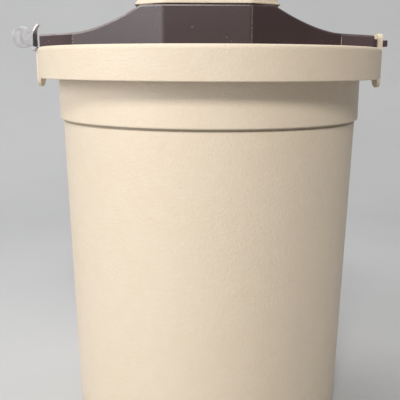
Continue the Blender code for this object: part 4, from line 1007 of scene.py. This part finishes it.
def make_bracket():
    """The bracket: a leaf in the pillar's recess, with two arms that reach out to the pin."""
    leaf_in = -RECESS_X - LEAF_FIT
    leaf_out = leaf_in - LEAF
    low_end = RIVETS_Z[1] - 4.0
    top_end = LATCH_Z - 4.5
    shape = [(-LEAF_HALF, low_end, 2.0), (LEAF_HALF, low_end, 2.0)]
    shape += [(LEAF_HALF, top_end, 0), (-LEAF_HALF, top_end, 0)]
    leaf = prism("bracket_leaf", rounded(shape, 5), leaf_out, leaf_in, "X", ZINC)
    arm = [
        (leaf_in, LATCH_Z - 5.5), (leaf_in, LATCH_Z - 3.6), (LATCH_X + 1.3, LATCH_Z + 1.2),
        (LATCH_X - 0.2, LATCH_Z - 0.4), (LATCH_X + 0.2, LATCH_Z - 1.7), (leaf_out, LATCH_Z - 5.5),
    ]
    for side in (-1, 1):
        low, high = sorted((side * (KNUCKLE_HALF + GAP), side * LEAF_HALF))
        join(leaf, prism("leaf_arm", arm, low + 0.01, high - 0.01, "Y", ZINC))
        join(leaf, bar("leaf_knuckle", "Y", (LATCH_X, LATCH_Z), low, high, KNUCKLE_R, ZINC))
    cut(leaf, bar("leaf_bore", "Y", (LATCH_X, LATCH_Z), -12.0, 12.0, LATCH_PIN_R + 0.2, ZINC, 24))
    for z in RIVETS_Z:
        cut(leaf, bar("rivet_hole", "X", (0.0, z), -EAR_X - 4.0, -RECESS_X + 4.0, RIVET_HOLE_R, ZINC, 24))
    finished(leaf, "tub", "zinc_steel", "latch_bracket", angle=40.0)


def make_pin():
    """The latch's pin, headed at both ends."""
    head = LEAF_HALF + 0.2
    half = [(LATCH_PIN_R, head, 0.1), (1.5, head, 0.1), (1.5, head + 0.7, 0.45), (0.0, head + 0.7, 0)]
    half = rounded(half, 4)
    pin = revolve("hinge_pin", [(r, -z) for r, z in reversed(half)] + half, ZINC, 32)
    turn = Matrix.Rotation(math.radians(-90.0), 4, "X")
    pin.data.transform(Matrix.Translation((LATCH_X * MM, 0.0, LATCH_Z * MM)) @ turn)
    finished(pin, "tub", "zinc_steel", "latch_pin")


def make_rivet(number, z):
    """One of the rivets that hold the bracket, with a low cone for a head."""
    face = -RECESS_X - 2 * LEAF_FIT - LEAF
    tail = -RIM_R + 4.2
    outline = rounded([
        (0.0, tail, 0), (1.6, tail, 0.3), (1.6, face, 0.02), (3.0, face, 0.1),
        (2.5, -EAR_X + 0.05, 0.3), (0.0, -EAR_X, 0),
    ], 3)
    rivet = revolve(f"rivet_{number}", outline, ZINC, 40)
    turn = Matrix.Rotation(math.radians(90.0), 4, "Y")
    rivet.data.transform(Matrix.Translation((0.0, 0.0, z * MM)) @ turn)
    finished(rivet, "tub", "zinc_steel", f"bracket_rivet_{number}")


make_tub()
make_canister()
make_lid()
make_housing()
make_motor_cover()
make_gland()
make_lever()
make_bracket()
make_pin()
for number, z in enumerate(RIVETS_Z, 1):
    make_rivet(number, z)


# ------------------------------------------------------------------ CAD pieces that keep their shape

KEPT = {
    "dasher_frame": IVORY, "scraper_left": IVORY, "scraper_right": IVORY,
    "output_gear": NYLON, "second_gear": NYLON, "first_gear": NYLON, "coil_bobbin": IVORY,
    "gear_case_plate": BROWN_PLATE, "stator_core": LAMINATE, "rotor": LAMINATE, "stator_coil": COPPER,
    "motor_pinion": BRONZE, "lower_bush": BRONZE, "upper_bush": BRONZE, "cooling_fan": ALUMINIUM,
}
STEEL_WORDS = ("screw", "spacer", "motor_bolt", "gear_pin", "bearing_bracket", "rotor_shaft")
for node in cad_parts:
    if any(word in node for word in STEEL_WORDS):
        KEPT[node] = ZINC

ROUNDED = {
    "dasher_frame": 0.6, "scraper_left": 0.4, "scraper_right": 0.4, "gear_case_plate": 0.4,
    "stator_core": 0.25,
}

for node, material in KEPT.items():
    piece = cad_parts[node]
    piece.data.materials.clear()
    piece.data.materials.append(material)
    if node in ROUNDED:
        flat = piece.modifiers.new("flat", "DECIMATE")
        flat.decimate_type = "DISSOLVE"
        flat.angle_limit = math.radians(2.0)
        edge = piece.modifiers.new("edge", "BEVEL")
        edge.width = ROUNDED[node] * MM
        edge.segments = 2
        edge.limit_method = "ANGLE"
        edge.angle_limit = math.radians(50.0)


# ------------------------------------------------------------------ stage, light and camera

def make_stage():
    """A round floor that curves up into a plain wall on every side."""
    half_x, half_y, centre_y, bend, top, columns = 3800.0, 3100.0, -1500.0, 900.0, 3600.0, 96
    line = [(bend + 200.0, 0.0)]
    for k in range(17):
        turn = math.radians(90.0 * k / 16)
        line.append((bend * (1.0 - math.sin(turn)), bend * (1.0 - math.cos(turn))))
    line.append((0.0, top))
    spots = circle((0.0, 0.0), 1.0, columns)
    work = bmesh.new()
    rows = []
    for inset, z in line:
        ring = [((half_x - inset) * x, centre_y + (half_y - inset) * y, z) for x, y in spots]
        rows.append([work.verts.new(Vector(point) * MM) for point in ring])
    work.faces.new(rows[0])
    for lower, upper in zip(rows, rows[1:]):
        for i in range(columns):
            j = (i + 1) % columns
            work.faces.new((lower[i], lower[j], upper[j], upper[i]))
    stage = from_bmesh("stage", work, BACKDROP)
    stage.data.shade_smooth()


def area_light(name, at, towards, size, power, colour):
    """A rectangular lamp that faces a point."""
    lamp = bpy.data.lights.new(name, "AREA")
    lamp.shape = "RECTANGLE"
    lamp.size, lamp.size_y = size
    lamp.energy = power
    lamp.color = colour
    obj = bpy.data.objects.new(name, lamp)
    bpy.context.scene.collection.objects.link(obj)
    obj.location = at
    obj.rotation_euler = (Vector(at) - Vector(towards)).to_track_quat("Z", "Y").to_euler()


make_stage()
for light in LIGHTS:
    area_light(*light)

world = bpy.data.worlds.new("studio")
world.use_nodes = True
world.node_tree.nodes["Background"].inputs["Color"].default_value = (0.93, 0.95, 1.0, 1.0)
world.node_tree.nodes["Background"].inputs["Strength"].default_value = 0.06
bpy.context.scene.world = world
bpy.context.scene.view_settings.view_transform = "Standard"

lens = bpy.data.cameras.new("camera")
lens.lens = LENS
lens.sensor_width = 36.0
lens.clip_start = 0.01
camera = bpy.data.objects.new("camera", lens)
bpy.context.scene.collection.objects.link(camera)
camera.location = CAMERA_AT
tilt = Matrix.Rotation(math.radians(CAMERA_PITCH), 4, "X")
camera.rotation_euler = (tilt @ Matrix.Rotation(CAMERA_ROLL, 4, "Z")).to_euler()
bpy.context.scene.camera = camera
